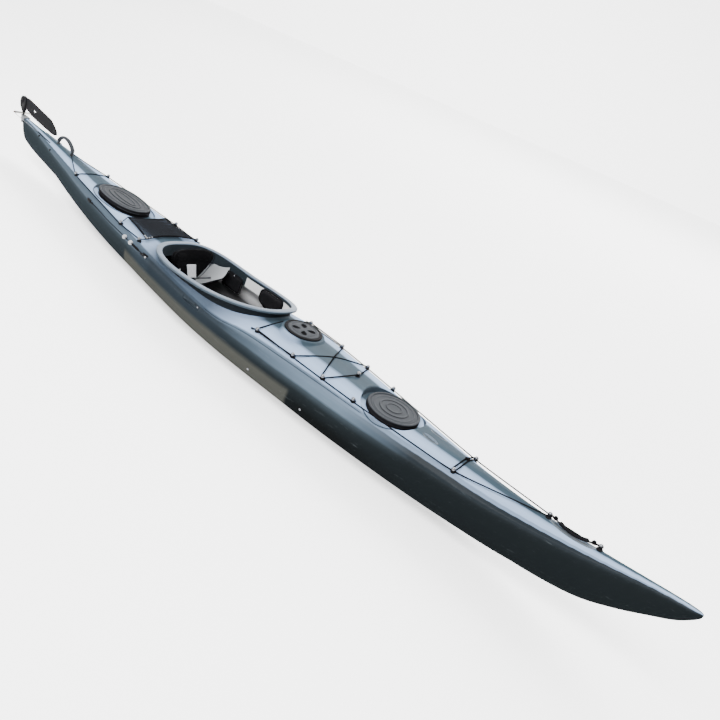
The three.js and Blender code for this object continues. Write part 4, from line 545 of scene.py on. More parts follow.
def makeFinish(name, f):
    material, tree, shader, places = newMaterial(name)
    patches = noiseNode(tree, places, f["patch"], patchDetail)
    colour = mixColour(tree, patches, f["base"], f["second"])
    lighter = tuple(min(1.0, wornLighter[0] * v + wornLighter[1]) for v in f["second"])
    colour = worn(tree, places, colour, f.get("scratch"), (f["wear"], lighter) if "wear" in f else None)
    height = groupNode(tree, grainGroup, places, Fineness=f["grain"][0], Ripple=f["grain"][1])["Height"]
    if "weave" in f:
        cloth = groupNode(tree, weaveGroup, places, Threads=f["weave"])
        height = mathNode(tree, "ADD", cloth["Height"], product(tree, height, clothGrain))
        colour = mixColour(tree, cloth["Gaps"], colour, tuple(gapShade * v for v in f["base"]))
    if "below" in f:
        high, low, dark = f["below"]
        level = addNode(tree, "SeparateXYZ", {"Vector": places}).outputs["Z"]
        colour = mixColour(tree, rangeNode(tree, level, high, low), colour, dark)
    bump = addNode(tree, "Bump", {"Height": height, "Distance": f["depth"]})
    feed(tree, shader, {
        "Base Color": colour, "Normal": bump.outputs["Normal"], "Roughness": rangeNode(tree, patches, 0, 1, f["rough"]),
        "Metallic": f.get("metal", 0.0), "Specular IOR Level": f.get("specular", 0.5),
        "Sheen Weight": f.get("sheen", 0.0)})
    return material


finish = {name: makeFinish(name, values) for name, values in finishes.items()}
print("finishes made:", len(finish))

# Hull: one fair skin over the same stations as its CAD part, with recesses, boss and coaming grown out of it
hull = {
    "length": 5030,
    "beam": 564,
    "height": 430,
    "wall": 5,
    "stationStep": 15,       # mm between rings of the outer skin
    "innerRange": (-0.92, 0.926), "innerStep": 0.0125,      # shares of half the length
    "nose": ((2.0, 0.8), (3.4, 0.45)),      # the bow's rounded end: reach ahead of the last ring and its size
    "grooveRange": (-50, 1000), "groovePlace": 0.345, "grooveDepth": 1.6, "grooveRadius": 2.6, "grooveEase": 20,
    "grooveShift": (2.4, 1.2),
}
halfLength, halfBeam, hullHeight = hull["length"] / 2, hull["beam"] / 2, hull["height"]
# place along the hull, then ridge height, deck edge, gunwale, chine and keel as shares of half beam and height
stationShares = np.array([
    [-1.0, 0.665, 0.014, 0.649, 0.025, 0.623, 0.018, 0.595, 0.007, 0.565],
    [-0.99, 0.665, 0.025, 0.651, 0.039, 0.623, 0.028, 0.526, 0.007, 0.43],
    [-0.978, 0.665, 0.032, 0.649, 0.05, 0.619, 0.035, 0.465, 0.007, 0.349],
    [-0.954, 0.665, 0.046, 0.647, 0.071, 0.614, 0.05, 0.423, 0.007, 0.298],
    [-0.915, 0.663, 0.071, 0.64, 0.106, 0.605, 0.078, 0.391, 0.011, 0.256],
    [-0.855, 0.658, 0.124, 0.626, 0.177, 0.584, 0.138, 0.349, 0.014, 0.216],
    [-0.775, 0.649, 0.206, 0.609, 0.284, 0.558, 0.227, 0.288, 0.021, 0.167],
    [-0.676, 0.623, 0.326, 0.588, 0.418, 0.528, 0.348, 0.198, 0.032, 0.107],
    [-0.557, 0.609, 0.479, 0.57, 0.596, 0.505, 0.482, 0.121, 0.046, 0.049],
    [-0.437, 0.609, 0.61, 0.558, 0.741, 0.488, 0.624, 0.088, 0.064, 0.016],
    [-0.318, 0.586, 0.716, 0.544, 0.851, 0.479, 0.73, 0.07, 0.078, 0.002],
    [-0.199, 0.581, 0.801, 0.516, 0.936, 0.472, 0.837, 0.058, 0.085, 0.0],
    [-0.08, 0.614, 0.879, 0.488, 0.993, 0.467, 0.922, 0.051, 0.085, 0.0],
    [0.02, 0.674, 0.894, 0.493, 1.0, 0.47, 0.929, 0.051, 0.085, 0.0],
    [0.099, 0.726, 0.819, 0.586, 0.975, 0.474, 0.894, 0.056, 0.085, 0.0],
    [0.199, 0.747, 0.741, 0.628, 0.911, 0.484, 0.819, 0.063, 0.085, 0.0],
    [0.318, 0.742, 0.631, 0.647, 0.812, 0.502, 0.723, 0.07, 0.078, 0.005],
    [0.417, 0.735, 0.525, 0.653, 0.716, 0.523, 0.624, 0.088, 0.064, 0.019],
    [0.517, 0.749, 0.418, 0.663, 0.61, 0.551, 0.5, 0.112, 0.046, 0.044],
    [0.616, 0.77, 0.312, 0.674, 0.486, 0.586, 0.379, 0.158, 0.032, 0.086],
    [0.716, 0.8, 0.213, 0.723, 0.362, 0.66, 0.273, 0.237, 0.021, 0.149],
    [0.795, 0.842, 0.145, 0.786, 0.262, 0.735, 0.191, 0.349, 0.014, 0.235],
    [0.855, 0.888, 0.099, 0.842, 0.177, 0.802, 0.128, 0.472, 0.011, 0.34],
    [0.907, 0.935, 0.067, 0.902, 0.121, 0.877, 0.089, 0.623, 0.007, 0.502],
    [0.946, 0.97, 0.046, 0.947, 0.085, 0.926, 0.064, 0.749, 0.007, 0.653],
    [0.978, 0.995, 0.032, 0.977, 0.057, 0.958, 0.043, 0.849, 0.007, 0.786],
    [0.996, 1.0, 0.018, 0.988, 0.028, 0.977, 0.021, 0.93, 0.005, 0.9],
    [1.0, 0.993, 0.007, 0.986, 0.014, 0.979, 0.011, 0.953, 0.004, 0.937],
])
# softness of each corner amidships and at the ends, and between which shares of half the length it changes
cornerSoft = {"ridge": (0.5, 0.16), "edge": (0.38, 0.3), "gunwale": (0.36, 0.16), "chine": (0.5, 0.46)}
softBlend = (0.35, 0.8)
keelFlat = 0.4      # the least half width of the keel's flat strip, inside the wall


def stationShare(column, place):
    places = stationShares[:, 0]
    last = len(places) - 1
    at = min(max(place, places[0]), places[last])
    i = max(min(int(np.searchsorted(places, at, side="left")) - 1, last - 1), 0)
    value = stationShares[:, column]

    def slope(k):
        low, high = max(k - 1, 0), min(k + 1, last)
        return (value[high] - value[low]) / (places[high] - places[low])

    span = places[i + 1] - places[i]
    t = (at - places[i]) / span
    rise = value[i + 1] - value[i]
    startSlope, endSlope = slope(i) * span, slope(i + 1) * span
    bend = startSlope + endSlope - 2 * rise
    return value[i] + t * (startSlope + t * (3 * rise - 2 * startSlope - endSlope + t * bend))


def sectionCorners(x, inset):
    place = x / halfLength
    shares = [0] + [max(stationShare(column, place), 0) for column in range(1, 10)]
    corners = np.array(list(zip(shares[0::2], shares[1::2])) + [(0, shares[9])]) * (halfBeam, hullHeight)
    if not inset:
        return corners
    runs = corners[1:] - corners[:-1]
    sizes = np.maximum(np.hypot(runs[:, 0], runs[:, 1]), 1e-9)
    normals = np.stack([runs[:, 1] / sizes, -runs[:, 0] / sizes], axis=1)
    result = []
    for i, (y, z) in enumerate(corners):
        before = normals[i - 1] if i else normals[0] * (-1, 1)
        after = normals[i] if i < len(normals) else normals[i - 1] * (-1, 1)
        stretch = 1 + before @ after
        result.append((y + inset * (before[0] + after[0]) / stretch, z + inset * (before[1] + after[1]) / stretch))
    result = np.array(result)
    if result[4][0] < keelFlat:
        fall = (result[3][1] - result[4][1]) / (result[3][0] - result[4][0])
        result[4] = (keelFlat, result[3][1] - fall * (result[3][0] - keelFlat))
        result[5] = (0, result[4][1])
    return result


# Half a section from ridge to keel as [out, up], and how far round it each point is: corners at fixed shares
girthMarks = {"ridge": 0.0, "edge": 0.3, "gunwale": 0.48, "chine": 0.8, "keel": 1.0}
coarse = {"counts": (3, 5, 5, 6), "fills": (4, 2, 3, 2)}      # points on each corner's curve and between the curves


def halfSection(x, inset=0, counts=(5, 9, 9, 10), fills=(8, 3, 5, 4)):
    corners = sectionCorners(x, inset)
    t = min(max((abs(x / halfLength) - softBlend[0]) / (softBlend[1] - softBlend[0]), 0), 1)
    blend = t * t * (3 - 2 * t)
    # each row is out, up and the place round the section, so that all three are eased alike
    marks = list(girthMarks.values())
    chain = np.array([(*corners[1] * (-1, 1), -girthMarks["edge"])] + [(*p, mark) for p, mark in zip(corners, marks)])
    rows = []
    for i, (soft, softEnd) in enumerate(cornerSoft.values()):
        soft += (softEnd - soft) * blend
        before, corner, after = chain[i:i + 3]
        start, end = corner + (before - corner) * soft, corner + (after - corner) * soft
        arc = [start * (1 - u) ** 2 + 2 * corner * u * (1 - u) + end * u * u
               for u in np.linspace(0 if rows else 0.5, 1, counts[i])]
        if rows:
            last, fill = rows[-1], fills[i - 1] + 1
            rows += [last + (arc[0] - last) * k / fill for k in range(1, fill)]
        rows += arc
    last = rows[-1]
    rows += [last + (chain[5] - last) * k / fills[3] for k in range(1, fills[3] + 1)]
    rows = np.array([*rows, (*corners[5], girthMarks["keel"])])
    return rows[:, :2], rows[:, 2]


def sectionRing(x, inset=0, **density):
    half, _ = halfSection(x, inset, **density)
    starboard = [(x, -y, z) for y, z in half]
    port = [(x, y, z) for y, z in half[1:-1]]
    return starboard + port[::-1]


sectionCache = {}


# The deck's or side's own points, for what stands on the hull
def fineSection(x):
    key = round(x, 1)
    if key not in sectionCache:
        sectionCache[key] = halfSection(key)[0]
    return sectionCache[key]


def deckHeight(x, y):
    half = fineSection(x)
    widest = int(np.argmax(half[:, 0]))
    return float(np.interp(abs(y), half[: widest + 1, 0], half[: widest + 1, 1]))


def sideOut(x, z):
    half = fineSection(x)
    widest = int(np.argmax(half[:, 0]))
    column = half[widest:][::-1] if z < half[widest, 1] else half[: widest + 1][::-1]
    return float(np.interp(z, column[:, 1], column[:, 0]))


def deckNormal(x, y, reach=6):
    run = (deckHeight(x + reach, y) - deckHeight(x - reach, y)) / (2 * reach)
    fall = (deckHeight(x, y + reach) - deckHeight(x, y - reach)) / (2 * reach)
    return Vector((-run, -fall, 1)).normalized()


def onDeck(x, y, lift=0):
    return Vector((x, y, deckHeight(x, y))) + lift * deckNormal(x, y)


# Where the skin's rings stand: evenly along the hull, closer at its ends
def hullPlaces(step):
    return halfLength * np.concatenate([[-1, -0.997, -0.99], np.arange(-0.98, 0.96, step / halfLength),
                                        [0.965, 0.972, 0.979, 0.985, 0.99, 0.994, 0.997, 1.0]])


def ovalOutline(x, y, halfX, halfY, squareness=2.0, count=128):
    turns = turnsOf(count)
    c, s = np.cos(turns), np.sin(turns)
    return np.stack([x + halfX * np.sign(c) * np.abs(c) ** (2 / squareness),
                     y + halfY * np.sign(s) * np.abs(s) ** (2 / squareness)], axis=1)


cockpit = {
    "centre": -195, "halfLength": 470, "halfWidth": 240, "squareness": 2.7, "egg": 0.2, "nudge": math.pi / 720,
    "rim": (272, 42, 38),      # height in the middle, rise towards the bow and curl at both ends
    "lipReach": 32, "lip": 8, "lipDrop": 13, "riser": 6, "riserDepth": 75, "riserFace": 27.5,
    "footFlare": 13, "footSink": 7, "turns": 144,
    # the lip's section from its underside over the rim and down the wall: inset from the outer edge and drop
    "lipProfile": (
        (24.4, 8), (12, 8), (7, 8.6), (5, 10.4), (4.4, 12.4), (3.4, 13.5), (1.6, 13.5), (0.4, 12.2), (0, 10), (0, 6),
        (0.6, 3.4), (2.4, 1.3), (5.2, 0.2), (10, -0.6), (17, -1.0), (24, -0.6), (28.6, 0.3), (31.4, 1.8), (32.8, 4),
        (33, 7), (33, 20), (33, 40), (33, 75)),
}
lipRoot = cockpit["lipReach"] - cockpit["riser"]      # inset of the lip's root from its outer edge


def rimHeight(u):
    middle, rise, curl = cockpit["rim"]
    return middle + rise * u + curl * u * u


def coamingPoint(turn, inset):
    c = cockpit

    def at(angle):
        along, out = (squared(v, 2 / c["squareness"]) for v in (math.cos(angle), math.sin(angle)))
        return np.array([along * c["halfLength"], out * c["halfWidth"] * (1 - c["egg"] * math.cos(angle))])

    here = at(turn)
    way = unit(at(turn + c["nudge"]) - at(turn - c["nudge"]))
    return c["centre"] + here[0] - inset * way[1], here[1] + inset * way[0], rimHeight(here[0] / c["halfLength"])


def coamingTurns(count):
    return (np.arange(count) + 0.5) * 2 * math.pi / count


def coamingOutline(inset, count=144):
    return np.array([coamingPoint(turn, inset)[:2] for turn in coamingTurns(count)])


# An upright cutter from a height to well over the deck
def prismShape(outline, low, high=480):
    return skinOver([[(x, y, z) for x, y in outline] for z in (low, high)])


recesses = {
    "fore": {"centre": 1050, "halfX": 162, "halfY": 162, "square": 2.0, "floor": 269, "hole": (114.6, 114.6)},
    "aft": {"centre": -1220, "halfX": 236, "halfY": 142, "square": 2.3, "floor": 236, "hole": (179.6, 103.6)},
}
boss = {"centre": 405, "radius": 110, "top": 318.6, "hole": 89.4}
# dishes in the deck: place along and out, half length, width and depth, rise over the deck, slope
dishes = {
    "bow_scoop": (1998, 0, 104, 30, 28, 6, math.radians(-6.2)),
    "dimple_port": (1290, 36, 44, 17, 11, 4, 0),
    "dimple_starboard": (1290, -36, 44, 17, 11, 4, 0),
}


# A form in the deck, closed round: rings from the outer lip inwards and back under it, each at its kind of level
def deckForm(rings, level):
    rows = [[(x, y, level(kind, drop, deckHeight(x, y))) for x, y in outline] for outline, kind, drop in rings]
    return skinOver(rows, caps=False, loop=True)


def recessForm(r, flare=9, wall=hull["wall"]):
    def outline(grow):
        return ovalOutline(r["centre"], 0, r["halfX"] + grow, r["halfY"] + grow, r["square"])

    def level(kind, drop, deck):
        if kind == "deck":
            return deck - drop
        if kind == "floor":
            return min(r["floor"] + drop, deck)
        return min(r["floor"] - drop, deck - drop)

    sets = [(outline(flare + 2.5), "deck", 0.6), (outline(flare), "deck", 0)]
    for a in np.radians((18, 36, 54, 72, 88)):
        sets.append((outline(flare * (1 - math.sin(a))), "deck", flare * (1 - math.cos(a)) * 0.9))
    for grow, drop in ((-0.8, 9), (-1.4, 6), (-2.6, 3), (-4.8, 1), (-8, 0)):
        sets.append((outline(grow), "floor", drop))
    inner = [r["hole"][0] - r["halfX"], r["hole"][1] - r["halfY"]]
    for share in (0.25, 0.5, 0.75, 1.0):
        growX, growY = (-8 + (g + 8) * share for g in inner)
        sets.append((ovalOutline(r["centre"], 0, r["halfX"] + growX, r["halfY"] + growY, r["square"]), "floor", 0))
    sets.append((sets[-1][0], "under", wall))
    for grow, drop in ((-4, wall), (wall - 1, wall)):
        sets.append((outline(grow), "under", drop))
    sets.append((outline(flare + 2.5), "deck", 2 * wall))
    return deckForm(sets, level), outline(flare)


def bossForm(centre, radius, top, hole, flare=13, wall=hull["wall"]):
    def outline(r):
        return ovalOutline(centre, 0, r, r)

    def level(kind, drop, deck):
        if kind == "deck":
            return deck - drop
        if kind == "ramp":
            return deck + (top - deck) * drop
        return top - drop

    sets = [(outline(radius + flare + 2.5), "deck", 0.6), (outline(radius + flare), "deck", 0)]
    for share in (0.2, 0.4, 0.6, 0.8):
        sets.append((outline(radius + flare * (1 - share)), "ramp", share * share * (3 - 2 * share)))
    sets += [(outline(radius), "top", 0.3), (outline(radius - 3), "top", 0), (outline(hole), "top", 0)]
    sets += [(outline(hole), "top", 2 * wall), (outline(radius), "top", 3 * wall)]
    sets.append((outline(radius + flare + 2.5), "deck", 2 * wall))
    return deckForm(sets, level), outline(radius + flare)


dishEase = 1.4      # how softly a dish's edge runs into the deck, in mm


# A dish: part of an ellipsoid sunk in the deck, with its edge eased
def dishForm(x, y, halfX, halfY, halfZ, rise, slope=0.0, wall=4, count=64):
    deck = deckHeight(x, y)

    def ball(px, py):
        reach = ((px - x) / halfX) ** 2 + ((py - y) / halfY) ** 2
        return deck + rise - (px - x) * math.tan(slope) - halfZ * math.sqrt(max(1 - reach, 0))

    def eased(px, py):
        here = deckHeight(px, py)
        sunk = (here - ball(px, py)) / dishEase
        return here - dishEase * float(np.logaddexp(0, sunk))

    edge = []
    for turn in turnsOf(count):
        low, high = 0.2, 1.0
        for _ in range(18):
            middle = (low + high) / 2
            px, py = x + halfX * middle * math.cos(turn), y + halfY * middle * math.sin(turn)
            low, high = (middle, high) if ball(px, py) < deckHeight(px, py) else (low, middle)
        edge.append((halfX * low * math.cos(turn), halfY * low * math.sin(turn)))

    def ring(share, height):
        return [(x + ex * share, y + ey * share, height(x + ex * share, y + ey * share)) for ex, ey in edge]

    rows = [ring(1.16, lambda px, py: deckHeight(px, py) - 0.5)]
    rows += [ring(share, eased) for share in (1.12, 1.06, 1.0, 0.94, 0.86, 0.74, 0.58, 0.4, 0.2, 0.03)]
    rows += [ring(share, lambda px, py: eased(px, py) - wall) for share in (0.03, 0.5, 0.9)]
    rows += [ring(1.16, lambda px, py: deckHeight(px, py) - 2 * wall)]
    outline = np.array([(x + ex * 1.12, y + ey * 1.12) for ex, ey in edge])
    low = min(p[2] for row in rows for p in row) - 2
    return skinOver(rows, caps=False, loop=True), outline, low


slots = {
    "x": -125, "z": 196, "halfLength": 70, "halfHeight": 16, "depth": 6, "square": 7, "inward": -15.5,
    "lip": ((5, 0.5), (3.4, 0), (2.2, 0.3), (1.2, 1), (0.5, 2), (0, 3.4), (-0.8, 4.8)),      # grow, depth
    "wall": 4, "cut": (3.4, -14, 12),      # grow of the cutter and its reach in and out
}


def sideForm(sign):
    s = slots

    def ring(grow, depth):
        outline = ovalOutline(s["x"], s["z"], s["halfLength"] + grow, s["halfHeight"] + grow, s["square"], 96)
        return [(x, sign * (sideOut(x, z) - depth), z) for x, z in outline]

    rings = [(s["inward"], s["depth"] + s["wall"]), (0, s["depth"] + s["wall"]), (5, s["wall"]), *s["lip"]]
    rings += [(grow, s["depth"]) for grow in (-2.4, -8, s["inward"])]
    grow, inner, outer = s["cut"]
    return skinOver([ring(*one) for one in rings]), skinOver([ring(grow, -reach) for reach in (inner, outer)])


def coamingRows():
    c = cockpit
    flare = c["footFlare"]
    rows = []
    for turn in coamingTurns(c["turns"]):
        rim = coamingPoint(turn, 0)[2]

        def foot(inset, lift=0.0):
            x, y, _ = coamingPoint(turn, inset)
            return x, y, deckHeight(x, y) + lift

        def at(inset, drop):
            return *coamingPoint(turn, inset)[:2], rim - drop

        room = max(rim - c["lip"] - foot(lipRoot)[2], 2.0)
        rise = min(flare, 0.7 * room)
        profile = [foot(lipRoot - flare - 2.5, -0.6), foot(lipRoot - flare)]
        for a in np.radians((20, 40, 60, 78)):
            profile.append(foot(lipRoot - flare * (1 - math.sin(a)), rise * (1 - math.cos(a))))
        profile += [foot(lipRoot, min(rise * 1.05, room * 0.8)), at(lipRoot, c["lip"] + min(2.0, room * 0.1))]
        profile += [at(inset, drop) for inset, drop in c["lipProfile"]]
        profile += [at(c["riserFace"], c["riserDepth"]), foot(c["riserFace"], -c["footSink"])]
        profile.append(foot(lipRoot - flare - 2.5, -c["footSink"]))
        rows.append(profile)
    return rows


def grooveCutter(sign):
    low, high = hull["grooveRange"]
    radius, (shiftOut, shiftUp) = hull["grooveRadius"], hull["grooveShift"]
    points = []
    for x in np.linspace(low, high, 90):
        girths = halfSection(x)[1]
        out, height = (np.interp(hull["groovePlace"], girths, fineSection(x)[:, k]) for k in (0, 1))
        ends = min(x - low, high - x)
        sink = hull["grooveDepth"] - radius * max(0.0, 1 - ends / hull["grooveEase"])
        points.append((x, sign * (out + shiftOut - sink), height + shiftUp - 0.5 * sink))
    return tubeShape(points, radius, 8)


# A UV map of places along and round the hull, for the colours that follow its form
def flowMap(piece, bin=12.0):
    data = piece.data
    places = np.empty(len(data.vertices) * 3)
    data.vertices.foreach_get("co", places)
    places = places.reshape(-1, 3) / milli
    girth = np.zeros(len(places))
    bins = np.round(places[:, 0] / bin).astype(int)
    for b in np.unique(bins):
        chosen = np.nonzero(bins == b)[0]
        half, girths = halfSection(min(max(b * bin, -halfLength), halfLength), **coarse)
        here = np.stack([np.abs(places[chosen, 1]), places[chosen, 2]], axis=1)
        a, d = half[:-1], half[1:] - half[:-1]
        size = np.maximum((d ** 2).sum(1), 1e-9)
        t = np.clip(((here[:, None] - a[None]) * d[None]).sum(2) / size, 0, 1)
        gap = ((here[:, None] - a[None] - t[:, :, None] * d[None]) ** 2).sum(2)
        best = gap.argmin(1)
        share = t[np.arange(len(chosen)), best]
        girth[chosen] = girths[best] + share * (girths[best + 1] - girths[best])
    layer = data.uv_layers.new(name="flow")
    loops = np.empty(len(data.loops), int)
    data.loops.foreach_get("vertex_index", loops)
    flat = np.stack([(places[loops, 0] + halfLength) / hull["length"], girth[loops]], axis=1)
    layer.data.foreach_set("uv", flat.ravel())


# The hull's plastic: one dark blue-grey with painted light and shade over it: a painted sky reflection on the deck's
# facets, painted shade on the ridge and over the sides down to near black below, and a paler band low amidships.
# Places along the hull run from 0 at the stern to 1 at the bow, and those round the section are the girth marks
hullColoursAndPaintedLight = {
    "cloud": (2.2, 3, 0.05),      # noise scale, detail and how far it shifts the colours round the section
    "ramp": [             # place round the section and colour: painted shade on the ridge and down the sides, a painted sky reflection on the facets
        (0.00, (0.024, 0.037, 0.048)),
        (0.115, (0.032, 0.049, 0.064)),
        (0.150, (0.180, 0.246, 0.350)),
        (0.22, (0.235, 0.315, 0.450)),
        (0.31, (0.220, 0.296, 0.425)),
        (0.332, (0.058, 0.082, 0.112)),
        (0.40, (0.072, 0.100, 0.136)),
        (0.475, (0.066, 0.091, 0.120)),
        (0.500, (0.024, 0.032, 0.039)),
        (0.56, (0.0085, 0.0110, 0.0125)),
        (0.68, (0.0045, 0.0053, 0.0056)),
        (1.00, (0.0035, 0.0037, 0.0036)),
    ],
    # washes over it: ends along the hull, ends round the section, how far, colour. A mask grows over each pair of ends
    "washes": [
        # the deck's painted sky reflection reaches further down at the bow
        ([(0.64, 0.80)], [(0.318, 0.324), (0.388, 0.376)], 0.75, (0.150, 0.202, 0.290)),
        # shade on the sides aft, low at the bow, and on the deck and the sides beside the cockpit
        ([(0.55, 0.20)], [(0.325, 0.345)], 0.55, (0.022, 0.029, 0.034)),
        ([(0.680, 0.760)], [(0.372, 0.384)], 0.93, (0.0060, 0.0076, 0.0084)),
        ([(0.535, 0.490), (0.345, 0.395)], [(0.120, 0.170)], 0.85, (0.026, 0.036, 0.050)),
        ([(0.640, 0.520), (0.345, 0.395)], [(0.350, 0.410)], 0.85, (0.0095, 0.0130, 0.0160)),
    ],
    "band": (0.036, 0.037, 0.033),
    "bandRange": (0.350, 0.634),       # along the hull
    "bandStart": (0.575, 0.625),       # round the section
    "bandSlant": 0.02, "bandEdge": 0.004,
    "grooveShade": (0.3445, 0.0035, 0.6, (0.006, 0.008, 0.010)),      # place, half width, share that is full, and colour of the painted shade in the groove
    "grooveEdge": 0.003,
    "scratch": (70, 0.16, (0.22, 0.25, 0.27)),
    "wear": (0.1, (0.25, 0.29, 0.32)),
    "grain": (420, 0.6), "depth": 0.00022,
    "rough": (0.26, 0.40),
    "coat": (0.44, 0.52, 0.10, 0.22),      # the polish fades out between these places; its weight and roughness
}


def rampNode(tree, value, stops):
    node = tree.nodes.new("ShaderNodeValToRGB")
    ramp = node.color_ramp
    while len(ramp.elements) < len(stops):
        ramp.elements.new(1.0)
    for element, (place, colour) in zip(ramp.elements, stops):
        element.position = place
        element.color = (*colour, 1)
    tree.links.new(value, node.inputs["Fac"])
    return node.outputs["Color"]


def makeHullPlastic(p):
    material, tree, shader, places = newMaterial("hullPlastic")
    flow = tree.nodes.new("ShaderNodeUVMap")
    flow.uv_map = "flow"
    split = addNode(tree, "SeparateXYZ", {"Vector": flow.outputs["UV"]})
    along, around = split.outputs["X"], split.outputs["Y"]
    scale, detail, reach = p["cloud"]
    cloud = noiseNode(tree, places, scale, detail)
    girth = mathNode(tree, "ADD", around, product(tree, mathNode(tree, "SUBTRACT", cloud, 0.5), reach))
    # the ramp paints light and shade round the section, and the washes after it paint more of it along the hull
    colour = rampNode(tree, girth, p["ramp"])
    for endsAlong, endsAround, most, tint in p["washes"]:
        masks = [rangeNode(tree, along, *ends) for ends in endsAlong]
        masks += [rangeNode(tree, girth, *ends) for ends in endsAround]
        colour = mixColour(tree, product(tree, *masks, most), colour, tint)
    (low, high), edge = p["bandRange"], p["bandEdge"]
    slant = mathNode(tree, "ADD", along, product(tree, girth, p["bandSlant"]))
    band = product(tree, rangeNode(tree, slant, low, low + edge), rangeNode(tree, slant, high + edge, high),
                   rangeNode(tree, girth, *p["bandStart"]))
    colour = mixColour(tree, band, colour, p["band"])
    # painted shade along the groove below the deck edge
    middle, half, core, dark = p["grooveShade"]
    off = mathNode(tree, "ABSOLUTE", mathNode(tree, "SUBTRACT", around, middle))
    (low, high), edge = (0.5 + x / hull["length"] for x in hull["grooveRange"]), p["grooveEdge"]
    line = product(tree, rangeNode(tree, off, half, half * core), rangeNode(tree, along, low, low + edge),
                   rangeNode(tree, along, high, high - edge))
    colour = worn(tree, places, mixColour(tree, line, colour, dark), p["scratch"], p["wear"])
    grain = groupNode(tree, grainGroup, places, Fineness=p["grain"][0], Ripple=p["grain"][1])
    bump = addNode(tree, "Bump", {"Height": grain["Height"], "Distance": p["depth"]})
    low, high, weight, coatRough = p["coat"]
    feed(tree, shader, {
        "Base Color": colour, "Normal": bump.outputs["Normal"], "Roughness": rangeNode(tree, cloud, 0, 1, p["rough"]),
        "Specular IOR Level": 0.0, "Coat Weight": product(tree, rangeNode(tree, girth, high, low), weight),
        "Coat Roughness": coatRough})
    return material


finish["hullPlastic"] = makeHullPlastic(hullColoursAndPaintedLight)

# Copies of the coaming's plastic with painted light and shade, in the order of its material slots: the hull's plastic,
# painted shade on the inner wall, painted light on the top, painted shade on the outer edge, painted shadow underneath,
# and the pale inside
coamingLooks = ("hullPlastic", "coamingInsideShade", "coamingLitTop", "coamingShadedSide", "coamingUnderShadow", "hullInside")
outside, wallShade, litTop, shadedEdge, underShadow, paleWall = range(6)


# The coaming's painted light and shade at a face, from the way it faces and its place under the rim
def coamingLook(face):
    c = cockpit
    towards = (Vector((c["centre"], 0, 0)) * milli - face.center).to_2d().normalized()
    inwards = towards.dot(face.normal.to_2d())
    u = (face.center.x / milli - c["centre"]) / c["halfLength"]
    drop = rimHeight(u) - face.center.z / milli
    if abs(face.normal.z) < 0.5 and inwards > 0.3 and drop > 12 - 30 * abs(u):
        return paleWall if drop > 24 and u > -0.1 else wallShade
    if face.normal.z > 0.5 and drop < 16:
        return litTop
    if drop < c["lipDrop"] + 1 and inwards < 0:
        return shadedEdge
    if face.normal.z < 0 or (face.normal.z < 0.3 and inwards < 0):
        return underShadow
    return outside


def makeHull():
    rows = [sectionRing(x) for x in hullPlaces(hull["stationStep"])]
    tip = np.array(rows[-1])
    middle = tip.mean(0)
    for reach, share in hull["nose"]:
        nose = middle + (tip - middle) * share
        nose[:, 0] = tip[0, 0] + reach
        rows.append(nose)
    outer = skinOver(rows)
    innerPlaces = np.arange(*hull["innerRange"], hull["innerStep"]) * halfLength
    inner = skinOver([sectionRing(x, hull["wall"], **coarse) for x in innerPlaces])
    bmesh.ops.reverse_faces(inner, faces=inner.faces)
    for face in inner.faces:
        face.material_index = 1
    skin = newPiece("hull_skin", joined([outer, inner]), ["hullPlastic", "hullInside"], body=None)
    cutters = [prismShape(coamingOutline(lipRoot - cockpit["footFlare"]), 150)]
    grown = {}
    for key, r in recesses.items():
        grown[key + "_recess"], outline = recessForm(r)
        cutters.append(prismShape(outline, r["floor"] - 60))
    grown["day_boss"], outline = bossForm(**boss)
    cutters.append(prismShape(outline, 230))
    for name, sizes in dishes.items():
        grown[name], outline, low = dishForm(*sizes)
        cutters.append(prismShape(outline, low))
    for side, sign in (("starboard", -1), ("port", 1)):
        grown["side_slot_" + side], cutter = sideForm(sign)
        cutters.append(cutter)
    carve(skin, joined(cutters))
    carve(skin, joined([grooveCutter(1), grooveCutter(-1)]))
    flowMap(skin)
    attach(skin, "hull_body")
    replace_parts(skin, "hull_shell")
    for name, shape in grown.items():
        piece = newPiece(name, shape, "hullPlastic", slot="hull_plastic", keepAngle=50)
        flowMap(piece)
        if name.endswith("_recess"):
            # the recess's steep walls painted dark as shade
            paintFaces(piece, "coamingShadedSide", lambda face: abs(face.normal.z) < 0.6)
        if name in dishes:
            # faces that point straight up painted in the shaded copy and the sloping ones in the lit copy, as painted
            # shade and light
            paintFaces(piece, "coamingShadedSide", lambda face: face.normal.z > 0.9)
            paintFaces(piece, "coamingLitTop", lambda face: face.normal.z <= 0.9)
    coaming = newPiece("cockpit_coaming", skinOver(coamingRows(), closed=True, loop=True),
                       coamingLooks, slot="hull_plastic", keepAngle=50)
    flowMap(coaming)
    for face in coaming.data.polygons:
        face.material_index = coamingLook(face)
    print("hull made:", len(skin.data.polygons), "faces")


makeHull()


# Hatch covers: a rolled hem, a raised rim and low rings on the top
foreCover = {"x": 1050, "radius": 133, "top": 297}
aftCover = {"x": -1220, "halfX": 198, "halfY": 122, "square": 2.3, "top": 275}
coverTurns, shadedEdgeNormal = 168, 0.45      # faces steeper than this, the covers' edges, are painted black as shade
